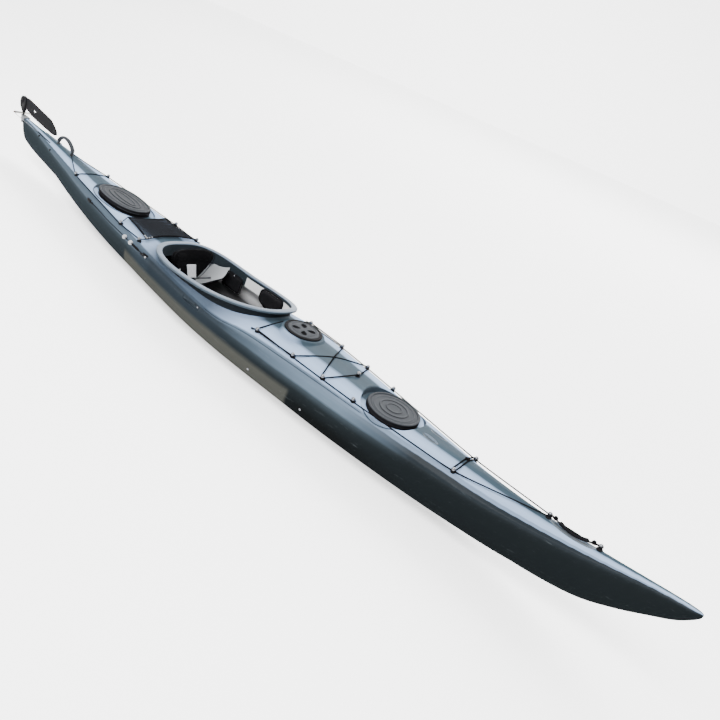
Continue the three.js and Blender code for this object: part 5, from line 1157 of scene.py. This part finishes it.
# inset from the outer edge and drop below the top, from the middle of the top out to the hem's inside
coverRings = [
    (100, 2.0), (99, 1.9), (98.4, 0.4), (97.6, 0), (93.4, 0), (92.6, 0.4), (91.8, 2.2), (90.6, 2.6),
    (70, 2.6), (68.8, 2.3), (68, 0.7), (66.8, 0.3), (61, 0.3), (59.8, 0.8), (59, 3.0), (57.6, 3.4),
    (37, 3.4), (36.2, 3.2), (35.6, 2.5), (34.6, 2.3), (32, 2.3), (31, 2.5), (30.4, 3.3), (29.4, 3.6),
    (20, 3.6), (19, 4.0), (18, 5.0), (16.6, 5.4), (15, 5.0), (14, 3.4), (13, 1.5), (11.4, 0.5), (9, 0),
    (6, 0.1), (3.4, 0.9), (1.2, 2.8), (0.3, 5.0), (0.2, 8), (1.0, 10), (1.2, 13), (0.6, 15.6), (-0.4, 17.6),
    (-0.8, 19.6), (-0.3, 21.8), (1.0, 23.0), (2.6, 23.2), (3.9, 22.2), (4.1, 20), (4.1, 8), (4.6, 6.6), (30, 6.6),
]


def makeCover(end, shape):
    piece = newPiece(end + "_cover_skin", shape, "darkRubber", end + "_cover_body", 50, "hatch_rubber",
                     (end + "_hatch_cover",))
    # the steep edges painted black as shade
    paintFaces(piece, "blackFoam", lambda face: face.normal.z < shadedEdgeNormal)


def makeForeCover(c):
    rings = [(c["radius"] - inset, c["top"] - drop) for inset, drop in coverRings]
    rings = [(0, c["top"] - coverRings[0][1]), *rings, (0, c["top"] - coverRings[-1][1])]
    makeCover("fore", moved(turnedShape(rings, coverTurns), c["x"]))


def makeAftCover(c):
    rows = []
    for inset, drop in coverRings:
        outline = ovalOutline(c["x"], 0, c["halfX"] - inset, c["halfY"] - inset, c["square"], coverTurns)
        rows.append([(x, y, c["top"] - drop) for x, y in outline])
    makeCover("aft", skinOver(rows))


makeForeCover(foreCover)
makeAftCover(aftCover)

# Day hatch: screw ring, lid with four finger pockets, and its pod
dayHatch = {
    "x": 405, "top": 328, "radius": 101, "bore": 84,
    "pocketPlace": 39, "pocketSize": (23, 14.5, 13), "pocketLeaf": (1.05, 0.42, -0.25), "easing": 0.9,
    # profiles as [radius, height]
    "ring": [(84, 327), (84, 308), (74, 308), (74, 304), (84, 300), (84, 271.6), (89, 271.6), (89, 319), (100, 319),
             (101, 320), (101, 323), (100.2, 324.8), (97.8, 326.8), (95, 327.1), (94, 326.6), (93.4, 326.6),
             (92.4, 327.3), (88, 327.5), (85.6, 327.4), (84.3, 326.6), (84, 327)],
    "lid": [(0, 328), (26, 327.9), (62, 327.5), (64, 327), (65, 326.2), (66.6, 326), (68, 326.8), (70, 327.2),
            (80, 327.1), (82, 326.5), (83.4, 325), (83.4, 320), (73.2, 320), (73.2, 304), (0, 304)],
    "pod": [(0, 159.6), (84, 159.6), (91, 161), (97, 165), (100.4, 171), (101.4, 178), (101.4, 258), (99.6, 264),
            (95, 268.6), (93, 271), (92.6, 281.6), (89.6, 281.6), (89.6, 271), (96, 264), (98.4, 257), (98.4, 178),
            (96, 169), (88, 163), (0, 162.6)],
}


def makeDayHatch(d):
    steps = {"ring": 144, "lid": 144, "pod": 96}
    shapes = {key: moved(turnedShape(d[key], count), d["x"]) for key, count in steps.items()}
    newPiece("day_ring_skin", shapes["ring"], "blackPlastic", keepAngle=50, slot="black_plastic",
             stands=("day_hatch_ring",))
    lid = newPiece("day_lid_skin", shapes["lid"], "darkRubber", "day_lid_body", 40, "black_plastic",
                   ("day_hatch_lid",))
    newPiece("day_pod_skin", shapes["pod"], "greyPlastic", slot="grey_plastic", stands=("day_hatch_pod",))
    pockets = []
    middle, slope, bend = d["pocketLeaf"]
    for k in range(4):
        pocket = ballShape(1 / milli, 40, 20)
        for vert in pocket.verts:
            vert.co.y *= middle + slope * vert.co.x + bend * vert.co.x ** 2     # a leaf, narrow towards the middle
        bmesh.ops.scale(pocket, verts=pocket.verts, vec=Vector(d["pocketSize"]) * milli)
        moved(pocket, d["pocketPlace"], 0, d["top"] - 0.5)
        turn = Matrix.Rotation(math.radians(45 + 90 * k), 3, "Z")
        bmesh.ops.rotate(pocket, verts=pocket.verts, cent=(0, 0, 0), matrix=turn)
        pockets.append(moved(pocket, d["x"]))
    carve(lid, joined(pockets))
    # the finger pockets and the lid's side, below its top, painted black as shade
    low = (d["top"] - 2.4) * milli
    paintFaces(lid, "blackFoam", lambda face: face.center.z < low)
    easeEdges(lid, d["easing"], 3, 35)


makeDayHatch(dayHatch)
print("hatches made")


# Seat pan: a thin shell whose wings turn up at the sides, with a black trim on its front edge
seat = {
    "rear": -605, "length": 225, "halfWidth": 198, "shell": 4, "wings": (150, 62), "frontRise": 140,
    "flat": 0.6, "flatWidth": 0.8, "taper": 0.12, "floorRise": 0.2, "risePower": 1.6, "base": 9.4,
    "trim": 4.2, "trimPlace": 0.985, "trimAhead": 3,
}


def seatPoint(along, out):
    s = seat
    side = abs(out)
    turn = max(side - s["flat"], 0) / (1 - s["flat"]) * math.pi / 2
    flat = min(side, s["flat"]) / s["flat"]
    width = s["halfWidth"] * (1 - s["taper"] * along)
    wing = s["wings"][0] + (s["wings"][1] - s["wings"][0]) * along
    y = width * (s["flatWidth"] * flat + (1 - s["flatWidth"]) * math.sin(turn))
    z = s["base"] + s["floorRise"] * y + s["frontRise"] * along ** s["risePower"] + wing * (1 - math.cos(turn))
    return np.array((s["rear"] + s["length"] * along, math.copysign(y, out), z))


def seatRow(along, drop, count=64):
    points = np.array([seatPoint(along, 2 * k / count - 1) for k in range(count + 1)])
    way = np.gradient(points, axis=0)
    return points + drop * unit(np.stack([np.zeros(count + 1), way[:, 2], -way[:, 1]], axis=1))


def makeSeat(s):
    places = [0, 0.01, *np.linspace(0.04, 0.96, 24), 0.99, 1.0]
    rows = [np.concatenate([seatRow(a, 0), seatRow(a, s["shell"])[::-1]]) for a in places]
    newPiece("seat_skin", skinOver(rows), "seatPlastic", keepAngle=50, slot="grey_plastic",
             stands=("seat_pan",))
    edge = seatRow(s["trimPlace"], s["shell"] / 2)
    edge[:, 0] += s["trimAhead"]
    trim = tubeShape(edge[2:-2], s["trim"], 12, reference=(1, 0, 0))
    newPiece("seat_trim", trim, "blackPlastic", slot="black_plastic")


# Puffs a closed form out as cloth under air pressure, no point further than its cap, in millimetres
cloth = {"steps": 20, "quality": 6, "stiffness": 20}


def puffed(piece, voxel, pressure, cap):
    remesh = piece.modifiers.new("even", "REMESH")
    remesh.mode, remesh.voxel_size = "VOXEL", voxel * milli
    baked(piece)
    rest = np.empty(len(piece.data.vertices) * 3)
    swollen = rest.copy()
    piece.data.vertices.foreach_get("co", rest)
    settings = piece.modifiers.new("cloth", "CLOTH").settings
    settings.use_pressure, settings.uniform_pressure_force = True, pressure
    settings.effector_weights.gravity = 0
    settings.quality = cloth["quality"]
    settings.tension_stiffness = settings.compression_stiffness = cloth["stiffness"]
    for step in range(1, cloth["steps"] + 1):
        bpy.context.scene.frame_set(step)
    graph = bpy.context.evaluated_depsgraph_get()
    piece.evaluated_get(graph).data.vertices.foreach_get("co", swollen)
    shift = (swollen - rest).reshape(-1, 3)
    size = np.maximum(np.linalg.norm(shift, axis=1), 1e-9)
    shift *= np.minimum(1, cap * milli / size)[:, None]
    piece.modifiers.clear()
    piece.data.vertices.foreach_set("co", rest + shift.ravel())
    piece.data.update()
    bpy.context.scene.frame_set(1)
    smoothed(piece.data)
    finer = piece.modifiers.new("finer", "SUBSURF")
    finer.levels = finer.render_levels = 1
    baked(piece)
    smoothed(piece.data)


# Backrest: a wide crowned cushion, narrower at its foot, bent round the paddler, with piping and sewn channels
back = {
    "x": -500, "base": 92, "width": 384, "height": 205, "depth": 42, "square": 3.2, "foot": 0.38, "wrap": 55,
    "lean": 10, "voxel": 5, "pressure": 4.0, "cap": 6, "fill": 0.7, "shrink": 0.985,
    # its section from the back to the front: size of the outline, and place in the depth from -1 to 1
    "section": ((0.05, -0.62), (0.5, -0.66), (0.8, -0.6), (0.93, -0.36), (0.97, 0), (0.94, 0.36), (0.82, 0.62),
                (0.5, 0.72), (0.05, 0.72)),
    "channels": (0.36, 0.64), "channelWidth": 0.018, "channelDepth": 3.2,      # places and width in the height
    "pipe": 3.4, "pipes": {"fore": (0.93, 0.44), "aft": (0.93, -0.5)},
}


# A place in the backrest: level from 0 at the foot to 1 at the top, out from -1 to 1, depth from its middle
def backPlace(level, out, depth):
    b = back
    y = out * b["width"] / 2 * (b["foot"] + (1 - b["foot"]) * level)
    wrap = b["wrap"] * (y / (b["width"] / 2)) ** 2
    x, z = wrap + depth, level * b["height"]
    c, s = (way(math.radians(-b["lean"])) for way in (math.cos, math.sin))
    return np.array((b["x"] + x * c + z * s, y, b["base"] - x * s + z * c))


def backRing(spread, depth, count=72):
    ring = []
    for turn in turnsOf(count):
        rise, out = (spread * squared(v, 2 / back["square"]) for v in (math.cos(turn), math.sin(turn)))
        ring.append(backPlace((rise + 1) / 2, out, depth))
    return ring


def makeBackrest(b):
    half = b["depth"] / 2
    rows = [backRing(spread * b["shrink"], depth * half) for spread, depth in b["section"]]
    piece = newPiece("backrest_pad", skinOver(rows), "padCloth", "backrest_body", 180, "pad_cloth",
                     ("backrest",))
    puffed(piece, b["voxel"], b["pressure"], b["cap"])
    for vert in piece.data.vertices:              # sewn channels across the front face
        if vert.normal.x >= 0.3:
            level = (vert.co.z / milli - b["base"]) / b["height"]
            pull = sum(math.exp(-((level - seam) / b["channelWidth"]) ** 2) for seam in b["channels"])
            vert.co -= vert.normal * b["channelDepth"] * pull * milli
    for end, (spread, depth) in b["pipes"].items():
        tube = tubeShape(backRing(spread, depth * half, 96), b["pipe"] / 2, 10, closed=True, reference=(1, 0, 0))
        newPiece("backrest_piping_" + end, tube, "blackPlastic", "backrest_body", slot="pad_cloth")


# Blank white tag hanging on the backrest's front, sewn in at its upper edge
tag = {"levels": (0.55, 0.17), "middles": (-4, 13), "widths": (66, 58), "stand": 1.6, "curl": 7, "ripple": 1.6,
       "thickness": 0.7, "near": (-0.03, 0, 0.03), "bridging": 3}


def makeTag(b, g):
    pad = bpy.data.objects["backrest_pad"].evaluated_get(bpy.context.evaluated_depsgraph_get())

    # how far the pad's surface stands out at a place of the back, in millimetres
    def padStand(level, out):
        far, near = (Vector(backPlace(level, out, reach)) * milli for reach in (90, 0))
        hit, place, _, _ = pad.ray_cast(far, (near - far).normalized(), distance=0.09)
        return (place - near).length / milli if hit else b["depth"] / 2

    rows = []
    for down in np.linspace(0, 1, 15):
        level, middle, width = (top + (foot - top) * down for top, foot in (g["levels"], g["middles"], g["widths"]))
        reach = b["width"] / 2 * (b["foot"] + (1 - b["foot"]) * level)
        row = []
        for side in np.linspace(-0.5, 0.5, 11):
            stand = g["stand"] + g["curl"] * down * down + g["ripple"] * math.sin(5 * side + 4 * down) * down
            out = (middle + side * width) / reach
            under = max(padStand(level + dl, out + do) for dl in g["near"] for do in g["near"])
            row.append(backPlace(level, out, under + stand))
        rows.append(row)
    rows = np.array(rows)
    for _ in range(g["bridging"]):        # stiff cloth bridges the pad's small hollows
        rows[1:-1] = (rows[:-2] + 2 * rows[1:-1] + rows[2:]) / 4
    piece = newPiece("backrest_tag", skinOver(rows, closed=False, caps=False), "paleCloth", "backrest_body", 180,
                     "pad_cloth")
    thick = piece.modifiers.new("thickness", "SOLIDIFY")
    thick.thickness, thick.offset = g["thickness"] * milli, 0
    width = sum(g["widths"]) / 2 * milli


# Pads on plates inside the coaming: hip pads beside the seat and thigh braces ahead of them
sidePads = {
    "hip": {"node": "hip_pad_", "look": "blackFoam", "turns": (90, 120), "drops": (46, 152), "depth": 14, "voxel": 4,
            "cap": 2.5, "round": 0.2, "foot": 0.96, "edge": 2.0},
    "brace": {"node": "thigh_brace_", "look": "greyFoam", "turns": (50, 90), "drops": (14, 122), "depth": 20,
              "voxel": 4, "cap": 2.5, "round": 0.5, "foot": 0.75, "edge": 4.6},
    "face": 32.8, "plate": 5, "pressure": 3.0, "fill": 0.8, "rim": (0.49, 0.7),      # half size, share of the plate
    # the section from the front to the back: size of the outline and rise over the plate
    "section": ((0.03, 0.8), (0.45, 0.86), (0.75, 0.82), (0.9, 0.6), (0.95, 0.3), (0.95, 0.12), (0.8, 0.08),
                (0.03, 0.08)),
}


# A point of a side pad: along and down from 0 to 1 over the pad, standing in from the coaming's wall
def sidePlace(pad, along, down, stand, sign=1):
    low, high = (math.radians(v) for v in pad["turns"])
    steps = [t for t in coamingTurns(36) if low < t < high]
    turn = steps[0] + (steps[-1] - steps[0]) * along
    x, y, rim = coamingPoint(turn, sidePads["face"] + stand)
    bulge = math.sin(math.pi * (along * 0.84 + 0.08))
    top, bottom = pad["drops"]
    foot = top + (bottom - top) * (pad["foot"] + bulge * (1 - pad["foot"]))
    return np.array((x, sign * y, rim - top - (foot - top) * down))


# A ring round a side pad: half size of its outline, and how far it stands in from the coaming's wall
def padRing(pad, half, stand, sign, count):
    ring = []
    for turn in turnsOf(count):
        u, v = (0.5 + half * squared(value, pad["round"]) for value in (math.cos(turn), math.sin(turn)))
        ring.append(sidePlace(pad, u, v, stand, sign))
    return ring


def makeSidePad(kind, side, sign):
    pad, plate = sidePads[kind], sidePads["plate"]
    rows = [padRing(pad, 0.5 * spread, plate * 0.2 + (pad["depth"] - plate * 0.4) * rise, sign, 56)
            for spread, rise in sidePads["section"]]
    piece = newPiece(kind + "_pad_form_" + side, skinOver(rows), pad["look"], "hull_body", 180, "foam",
                     (pad["node"] + side,))
    puffed(piece, pad["voxel"], sidePads["pressure"], pad["cap"])
    half, share = sidePads["rim"]
    tube = tubeShape(padRing(pad, half, plate * share, sign, 64), pad["edge"], 10, closed=True, reference=(0, 1, 0))
    newPiece(kind + "_edge_" + side, tube, "blackPlastic", slot="black_plastic")


# Domed screw heads on the coaming's inside wall, above each hip pad
screws = {
    "places": ((-399, 203), (-348, 206)), "stand": 47.5,
    "profile": [(0, -2), (6.2, -2), (6.2, 0.6), (5.332, 1.8), (3.1, 3.2), (0, 3.5)],
}


def makeScrews(s):
    heads = []
    for sign in (1, -1):
        for x, z in s["places"]:
            turn = min(coamingTurns(720), key=lambda t: abs(coamingPoint(t, 33)[0] - x) + (t > math.pi) * 999)
            near = coamingPoint(turn, s["stand"])
            inner = coamingPoint(turn, s["stand"] + 8)
            way = Vector((inner[0] - near[0], sign * (inner[1] - near[1]), 0)).normalized()
            heads.append(stood(turnedShape(s["profile"], 28), (near[0], sign * near[1], z), way))
    newPiece("hip_screws", joined(heads), "steel", slot="steel")


makeSeat(seat)
makeBackrest(back)
makeTag(back, tag)
for kind in ("hip", "brace"):
    makeSidePad(kind, "port", 1)
    makeSidePad(kind, "starboard", -1)
makeScrews(screws)
print("seat, backrest and pads made")


# Deck fittings: a black foot on the deck and a steel ball on its neck, as [radius, height]
fitting = {
    "foot": [(0, -3.4), (13.4, -3.4), (13.6, 0.6), (13.2, 2.0), (12.0, 3.0), (9.6, 3.9), (8.6, 5.2), (8.2, 7.6),
             (7.8, 8.6), (0, 8.6)],
    "ball": [(0, 6.4), (6.6, 6.4), (8.0, 7.0), (9.2, 8.8), (10.0, 11.4), (10.2, 14.0), (9.9, 16.6), (8.9, 19.4),
             (7.2, 21.8), (4.9, 23.4), (2.4, 24.2), (0, 24.4)],
    "places": {"a": (288, 193), "b": (536, 181), "c": (732, 168), "d": (922, 152), "e": (1474, 92),
               "aft_front": (-736, 200), "aft_middle": (-941, 190), "aft_rear": (-1592, 108)},
    "middle": {"deck_fitting_centre": 800, "bow_fitting_aft": 1886, "bow_fitting_fore": 2110},
    "stern": (-2033, -1857),
}


def onSurface(profile, x, y, steps=32, lift=0.4):
    return stood(turnedShape(profile, steps), onDeck(x, y, lift), deckNormal(x, y))


def makeFittings(f):
    spots = {name: (x, 0) for name, x in f["middle"].items()}
    for letter, (x, y) in f["places"].items():
        spots["deck_fitting_" + letter + "_port"] = (x, y)
        spots["deck_fitting_" + letter + "_starboard"] = (x, -y)
    for node, (x, y) in spots.items():
        newPiece(node + "_foot", onSurface(f["foot"], x, y), "blackPlastic", keepAngle=60, slot="black_plastic",
                 stands=(node,))
        newPiece(node + "_ball", onSurface(f["ball"], x, y), "steel", keepAngle=60, slot="steel")


# Stern handle: a rubber loop between two feet
sternLoop = {
    "rise": 44.5, "head": 23.5, "radius": 9.5,
    "flatness": 1.5,      # how much wider it is than thick
    "foot": [*fitting["foot"][:-2], (8.6, 14), (9.2, 18), (9.4, 24), (8.8, 28), (6.4, 31), (0, 32)],
    "shape": ((0, 0), (0.05, 0.35), (0.22, 0.82), (0.42, 1), (0.62, 0.94), (0.84, 0.6), (0.97, 0.2), (1, 0)),
}


# A smooth open curve through a few points
def curveThrough(points, count):
    ring = np.concatenate([2 * points[:1] - points[1:2], points, 2 * points[-1:] - points[-2:-1]])
    result = []
    for a, b, c, d in zip(ring, ring[1:], ring[2:], ring[3:]):
        for t in np.arange(count) / count:
            result.append(0.5 * (2 * b + (c - a) * t + (2 * a - 5 * b + 4 * c - d) * t * t
                          + (3 * b - a - 3 * c + d) * t ** 3))
    return np.array([*result, points[-1]])


def makeSternHandle(s):
    aft, fore = (np.array(onDeck(x, 0)) for x in fitting["stern"])
    points = np.array([aft + (fore - aft) * along + (0, 0, s["head"] + rise * s["rise"])
                       for along, rise in s["shape"]])
    loop = tubeShape(curveThrough(points, 8), s["radius"], 20, reference=(0, 1, 0))
    bmesh.ops.scale(loop, verts=loop.verts, vec=(1, s["flatness"], 1))
    feet = [onSurface(s["foot"], x, 0) for x in fitting["stern"]]
    newPiece("stern_handle_loop", joined([loop, *feet]), "darkRubber", keepAngle=60, slot="hatch_rubber",
             stands=("stern_handle",))


# Bow handle: a rubber grip that sags into the scoop, and a knot of its cord at each end
bowGrip = {
    "radius": 8.2, "length": 128, "sag": 13, "lift": 4, "ribs": 15, "ribDepth": 0.7, "ribbed": (0.12, 0.88),
    "knots": (1913, 2082), "knotRadius": 9.5, "knotLift": 13, "cordTurns": (0.09, 3, 0.9),      # depth, count, slant
}


def makeBowGrip(g):
    low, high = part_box("bow_handle_grip")
    middle = (Vector(low) + Vector(high)) / 2 / milli
    ends = [onDeck(x, 0) for x in g["knots"]]
    way = (ends[1] - ends[0]).normalized()
    across = Vector((0, 1, 0))
    rows = []
    for share in np.linspace(0, 1, 101).tolist():
        side = 2 * share - 1
        centre = middle + way * (side * g["length"] / 2) - up * (g["sag"] * (1 - side ** 2) - g["lift"])
        square = (way + up * (4 * g["sag"] * side / g["length"])).normalized().cross(across)
        radius = g["radius"] * min(1, 0.62 + 14 * share, 0.62 + 14 * (1 - share))
        if g["ribbed"][0] < share < g["ribbed"][1]:
            radius -= g["ribDepth"] * (0.5 + 0.5 * math.cos(2 * math.pi * g["ribs"] * share))
        rows.append([centre + radius * (math.cos(t) * across + math.sin(t) * square) for t in turnsOf(28)])
    newPiece("bow_grip", skinOver(rows), "blackPlastic", keepAngle=50, slot="hatch_rubber",
             stands=("bow_handle_grip",))
    knots = []
    depth, count, slant = g["cordTurns"]
    for x in g["knots"]:
        knot = ballShape(g["knotRadius"], 32, 20)
        for vert in knot.verts:                # turns of the cord round the knot
            turn = math.atan2(vert.co.z, vert.co.y)
            vert.co *= 1 + depth * math.cos(count * turn + vert.co.x / milli * slant)
        knots.append(moved(knot, *onDeck(x, 0, g["knotLift"])))
    newPiece("bow_handle_knots", joined(knots), "cordBlack", keepAngle=180, slot="cord")


# Deck net: knotted strands laced to a rope round the edge, hooked to the fittings at its corners
net = {
    "rear": -975, "front": -712, "rearHalf": 130, "frontHalf": 172, "sag": 30, "draw": 0.05, "stand": 9,
    "strands": 23, "strandRadius": 1.5, "ropeRadius": 3.1, "laceRadius": 1.5, "laceTurns": 84, "drop": 6,
    "tieRadius": 2.5, "tieLoop": 7, "neck": 9, "beadLift": 2.6,
    "ties": ((0, "aft_middle"), (1, "aft_front")),
    "beads": ((0.985, -0.98, 4.6), (0.93, -1.0, 4.4), (0.87, -1.0, 4.2), (1.0, -0.88, 4.4), (1.0, -0.76, 4.2)),
}


def netPlace(u, v, lift=0.0):
    n = net
    rear = n["rear"] + n["sag"] * (1 - v * v)
    front = n["front"] - n["sag"] * (1 - v * v)
    half = n["rearHalf"] + (n["frontHalf"] - n["rearHalf"]) * u
    x = rear + (front - rear) * u
    y = v * half * (1 - n["draw"] * math.sin(math.pi * u))
    ridge = stationShare(1, x / halfLength) * hullHeight
    return np.array((x, y, ridge + n["stand"] - n["drop"] * v * v + lift))


def makeNet(n):
    tubes = []
    count = n["strands"]
    us = np.linspace(0, 1, 61)
    for way in (1, -1):
        for k in range(-count + 1, count):      # diagonal strands: v runs with u, clipped at the net's edges
            inside = [(u, v) for u, v in zip(us, way * (2 * us + 2 * k / count - 1)) if abs(v) <= 1]
            if len(inside) < 4:
                continue
            points = [netPlace(u, v, way * 0.5 * math.cos(math.pi * count * u)) for u, v in inside]
            tubes.append(tubeShape(points[::2] if len(points) > 8 else points, n["strandRadius"], 5))
    newPiece("net_web", joined(tubes), "netCord", keepAngle=180, slot="net", stands=("deck_net",))
    lengthways, across = (np.linspace(low, 1, steps, endpoint=False) for low, steps in ((0, 40), (-1, 44)))
    edge = [netPlace(u, -1) for u in lengthways] + [netPlace(1, v) for v in across]
    edge = np.array(edge + [netPlace(1 - u, 1) for u in lengthways] + [netPlace(0, -v) for v in across])
    rope = tubeShape(edge, n["ropeRadius"], 12, closed=True)
    steps = n["laceTurns"] * 12
    places = np.linspace(0, len(edge), steps, endpoint=False)
    around = np.concatenate([edge, edge[:1]])
    base = np.stack([np.interp(places, np.arange(len(around)), around[:, k]) for k in range(3)], axis=1)
    ahead = unit(np.roll(base, -1, 0) - np.roll(base, 1, 0))
    side = unit(np.cross(ahead, up))
    turns = np.arange(steps)[:, None] * 2 * math.pi / 12
    reach = n["ropeRadius"] + n["laceRadius"] * 0.6
    lace = base + reach * (np.cos(turns) * side + np.sin(turns) * np.cross(side, ahead))
    newPiece("net_edge", joined([rope, tubeShape(lace, n["laceRadius"], 6, closed=True)]), "cordBlack",
             keepAngle=180, slot="net")
    ties = []
    for u, place in n["ties"]:
        x, y = fitting["places"][place]
        for v in (-1, 1):
            neck, start, normal = np.array(onDeck(x, v * y, n["neck"])), netPlace(u, v), np.array(deckNormal(x, v * y))
            stop = neck - unit(neck - start) * n["tieLoop"]
            ties.append(tubeShape([start, (start + stop) / 2, stop], n["tieRadius"], 12))
            first = unit(np.cross(normal, (1, 0, 0)))
            second = np.cross(normal, first)
            loop = [neck + n["tieLoop"] * (math.cos(t) * first + math.sin(t) * second) for t in turnsOf(24)]
            ties.append(tubeShape(loop, n["tieRadius"], 12, closed=True, reference=normal))
    newPiece("net_ties", joined(ties), "cordBlack", keepAngle=180, slot="net")
    beads = [moved(ballShape(radius, 20, 12), *netPlace(u, v, n["beadLift"])) for u, v, radius in n["beads"]]
    newPiece("net_beads", joined(beads), "paleBead", slot="bead")


# Rudder lift line: two turned beads, the strap ahead of them and its cleat
liftGrips = {
    "beads": {"aft": (-813.4, -241.8, 215.2), "fore": (-743.3, -247.9, 215.3)}, "way": (0.9962, -0.0867, 0.0014),
    "radius": 13, "bore": 2.4,
    "necks": [(0.34, 0.93), (0.44, 0.9)],      # the flat ends beside the bore, as shares of the radius
    "strap": ((-733, -248.8, 215.3), (-646, -256.4, 215.4)), "strapSize": (4.2, 7.0), "strapTaper": (8, 0.35),
    "tip": (-576, -262, 213), "tipRadius": 5.5,
}


def makeLiftGrips(g):
    r = g["radius"]
    profile = [(g["bore"], -0.9 * r), *((out * r, -end * r) for out, end in g["necks"])]
    profile += [(r * math.cos(a), r * math.sin(a)) for a in np.radians(np.linspace(-62, 62, 19))]
    profile += [(out * r, end * r) for out, end in g["necks"][::-1]] + [(g["bore"], 0.9 * r), (g["bore"], -0.9 * r)]
    for end, place in g["beads"].items():
        newPiece("lift_bead_" + end, stood(turnedShape(profile, 40), place, g["way"]), "paleBead",
                 "lift_grip_" + end + "_body", 60, "bead", ("lift_grip_" + end,))
    start, stop = (np.array(p) for p in g["strap"])
    (wide, tall), (taper, least) = g["strapSize"], g["strapTaper"]
    rows = []
    for share in np.linspace(0, 1, 30):
        swell = max(min(1, taper * share, taper * (1 - share)) ** 0.5, least)
        place = start + (stop - start) * share
        rows.append([place + (0, wide * swell * math.cos(t), tall * swell * math.sin(t)) for t in turnsOf(20)])
    newPiece("lift_strap", skinOver(rows), "cordBlack", keepAngle=60, slot="cord")
    dressed("lift_cleat_casting", "lift_cleat", "blackPlastic", "hull_body", 1.2, 3, slot="alloy")
    newPiece("lift_cleat_tip", moved(ballShape(g["tipRadius"], 24, 14), *g["tip"]), "paleBead", slot="alloy")


# Small caps along the gunwale for the rudder's lines, and the domed bolts of the foot rails and side slots
sideCaps = {
    "cap": [(0, -3), (7.5, -3), (7.5, 1.2), (6.6, 2.6), (4.4, 3.4), (0, 3.8)],
    "bolt": [(0, -2), (6.4, -2), (6.4, 0.5), (5.9, 1.6), (4.6, 2.5), (2.6, 3.1), (0, 3.3)],
    "sets": {             # places, profile, look, slot and how deep they are sunk
        "line_caps": (((-2210, 256), (-2000, 242), (-1262, 209)), "cap", "blackPlastic", "black_plastic", 0),
        "rail_bolt_heads": (((361, 98), (715, 98)), "bolt", "steel", "steel", 0),
        "slot_screws": (((-72, 196),), "bolt", "steel", "steel", 5.4),
    },
}


def sideWay(x, z, sign):
    run = (sideOut(x + 6, z) - sideOut(x - 6, z)) / 12
    rise = (sideOut(x, z + 4) - sideOut(x, z - 4)) / 8
    return Vector((-run, sign, -rise)).normalized()


def makeSideCaps(s):
    for name, (spots, profile, look, slot, sink) in s["sets"].items():
        caps = []
        for x, z in spots:
            for sign in (1, -1):
                place = (x, sign * (sideOut(x, z) - sink), z)
                caps.append(stood(turnedShape(s[profile], 28), place, sideWay(x, z, sign)))
        newPiece(name, joined(caps), look, keepAngle=60, slot=slot)


# Rudder: the head's casting with a bright yoke arm, and the blade with eased edges
rudder = {
    "sleeve": -2246, "yokeFoot": 291, "yokeTop": 300.5, "yokeInner": 15, "ballRadius": 7, "ball": (-2526, -63, 296),
    "cableStart": (-2.40, 0, 0.3), "cableEnd": (-2.515, 0, 0.3),      # in metres
}


def makeRudder(r):
    head = dressed("rudder_head_casting", "rudder_head", "blackPlastic", "rudder_head_body", 0.9, 3,
                   slot="black_plastic")
    head.data.materials.append(finish["yokeAlloy"])
    for face in head.data.polygons:
        place = face.center / milli
        if abs(place.y) > r["yokeInner"] and r["yokeFoot"] < place.z < r["yokeTop"]:
            face.material_index = 1
    newPiece("yoke_ball", moved(ballShape(r["ballRadius"], 32, 20), *r["ball"]), "brownBall",
             "rudder_head_body", slot="black_plastic")
    dressed("rudder_blade_plate", "rudder_blade", "blackPlastic", "rudder_blade_body", 1.2, 3,
            slot="black_plastic")
    dressed("rudder_bracket_casting", "rudder_bracket", "alloy", "hull_body", 0.9, 3, slot="alloy")
    for side in ("port", "starboard"):
        cable = dressed("steering_line_" + side, "steering_cable_" + side, "steel", None, 0, 0,
                        smooth=1, slot="steel", keepAngle=50)
        cable.data.materials.append(finish["blackPlastic"])
        for face in cable.data.polygons:
            face.material_index = int(face.center.x > r["sleeve"] * milli)
        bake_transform(cable)


makeFittings(fitting)
makeSternHandle(sternLoop)
makeBowGrip(bowGrip)
makeNet(net)
makeLiftGrips(liftGrips)
makeSideCaps(sideCaps)
makeRudder(rudder)
print("fittings, net and rudder made")

# The other CAD parts keep their form: the finish for each material slot
plain = {
    "foam": "blackFoam", "black_plastic": "blackPlastic", "grey_plastic": "greyPlastic", "hatch_rubber": "darkRubber",
    "pad_cloth": "padCloth", "steel": "steel", "alloy": "alloy", "cord": "cordBlack", "net": "netCord",
    "bead": "paleBead", "hull_plastic": "hullPlastic",
}
braid = 0.8 * milli          # the braided cover that a cord has over its plain CAD form
slotOfNode = {part["node"]: part["material_slot"] for part in frame["record"]["subparts"]}
bodyOfNode = {n: body for body, members in frame["record"]["behaviour"]["bodies"].items() for n in members}
stoodFor = {n for o in bpy.context.scene.objects for n in o.get("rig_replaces", [])}
for n in sorted(nodes):
    if n in stoodFor:
        continue
    slot = slotOfNode[n]
    soft = slot in ("cord", "net") or n.startswith("steering_cable")
    piece = dressed(n + "_dressed", n, plain[slot], body=bodyOfNode[n], edge=0 if soft else 0.7,
                    smooth=1 if slot == "cord" else 0, slot=slot)
    if slot == "cord":
        for vert in piece.data.vertices:
            vert.co += vert.normal * braid
print("carried parts dressed")
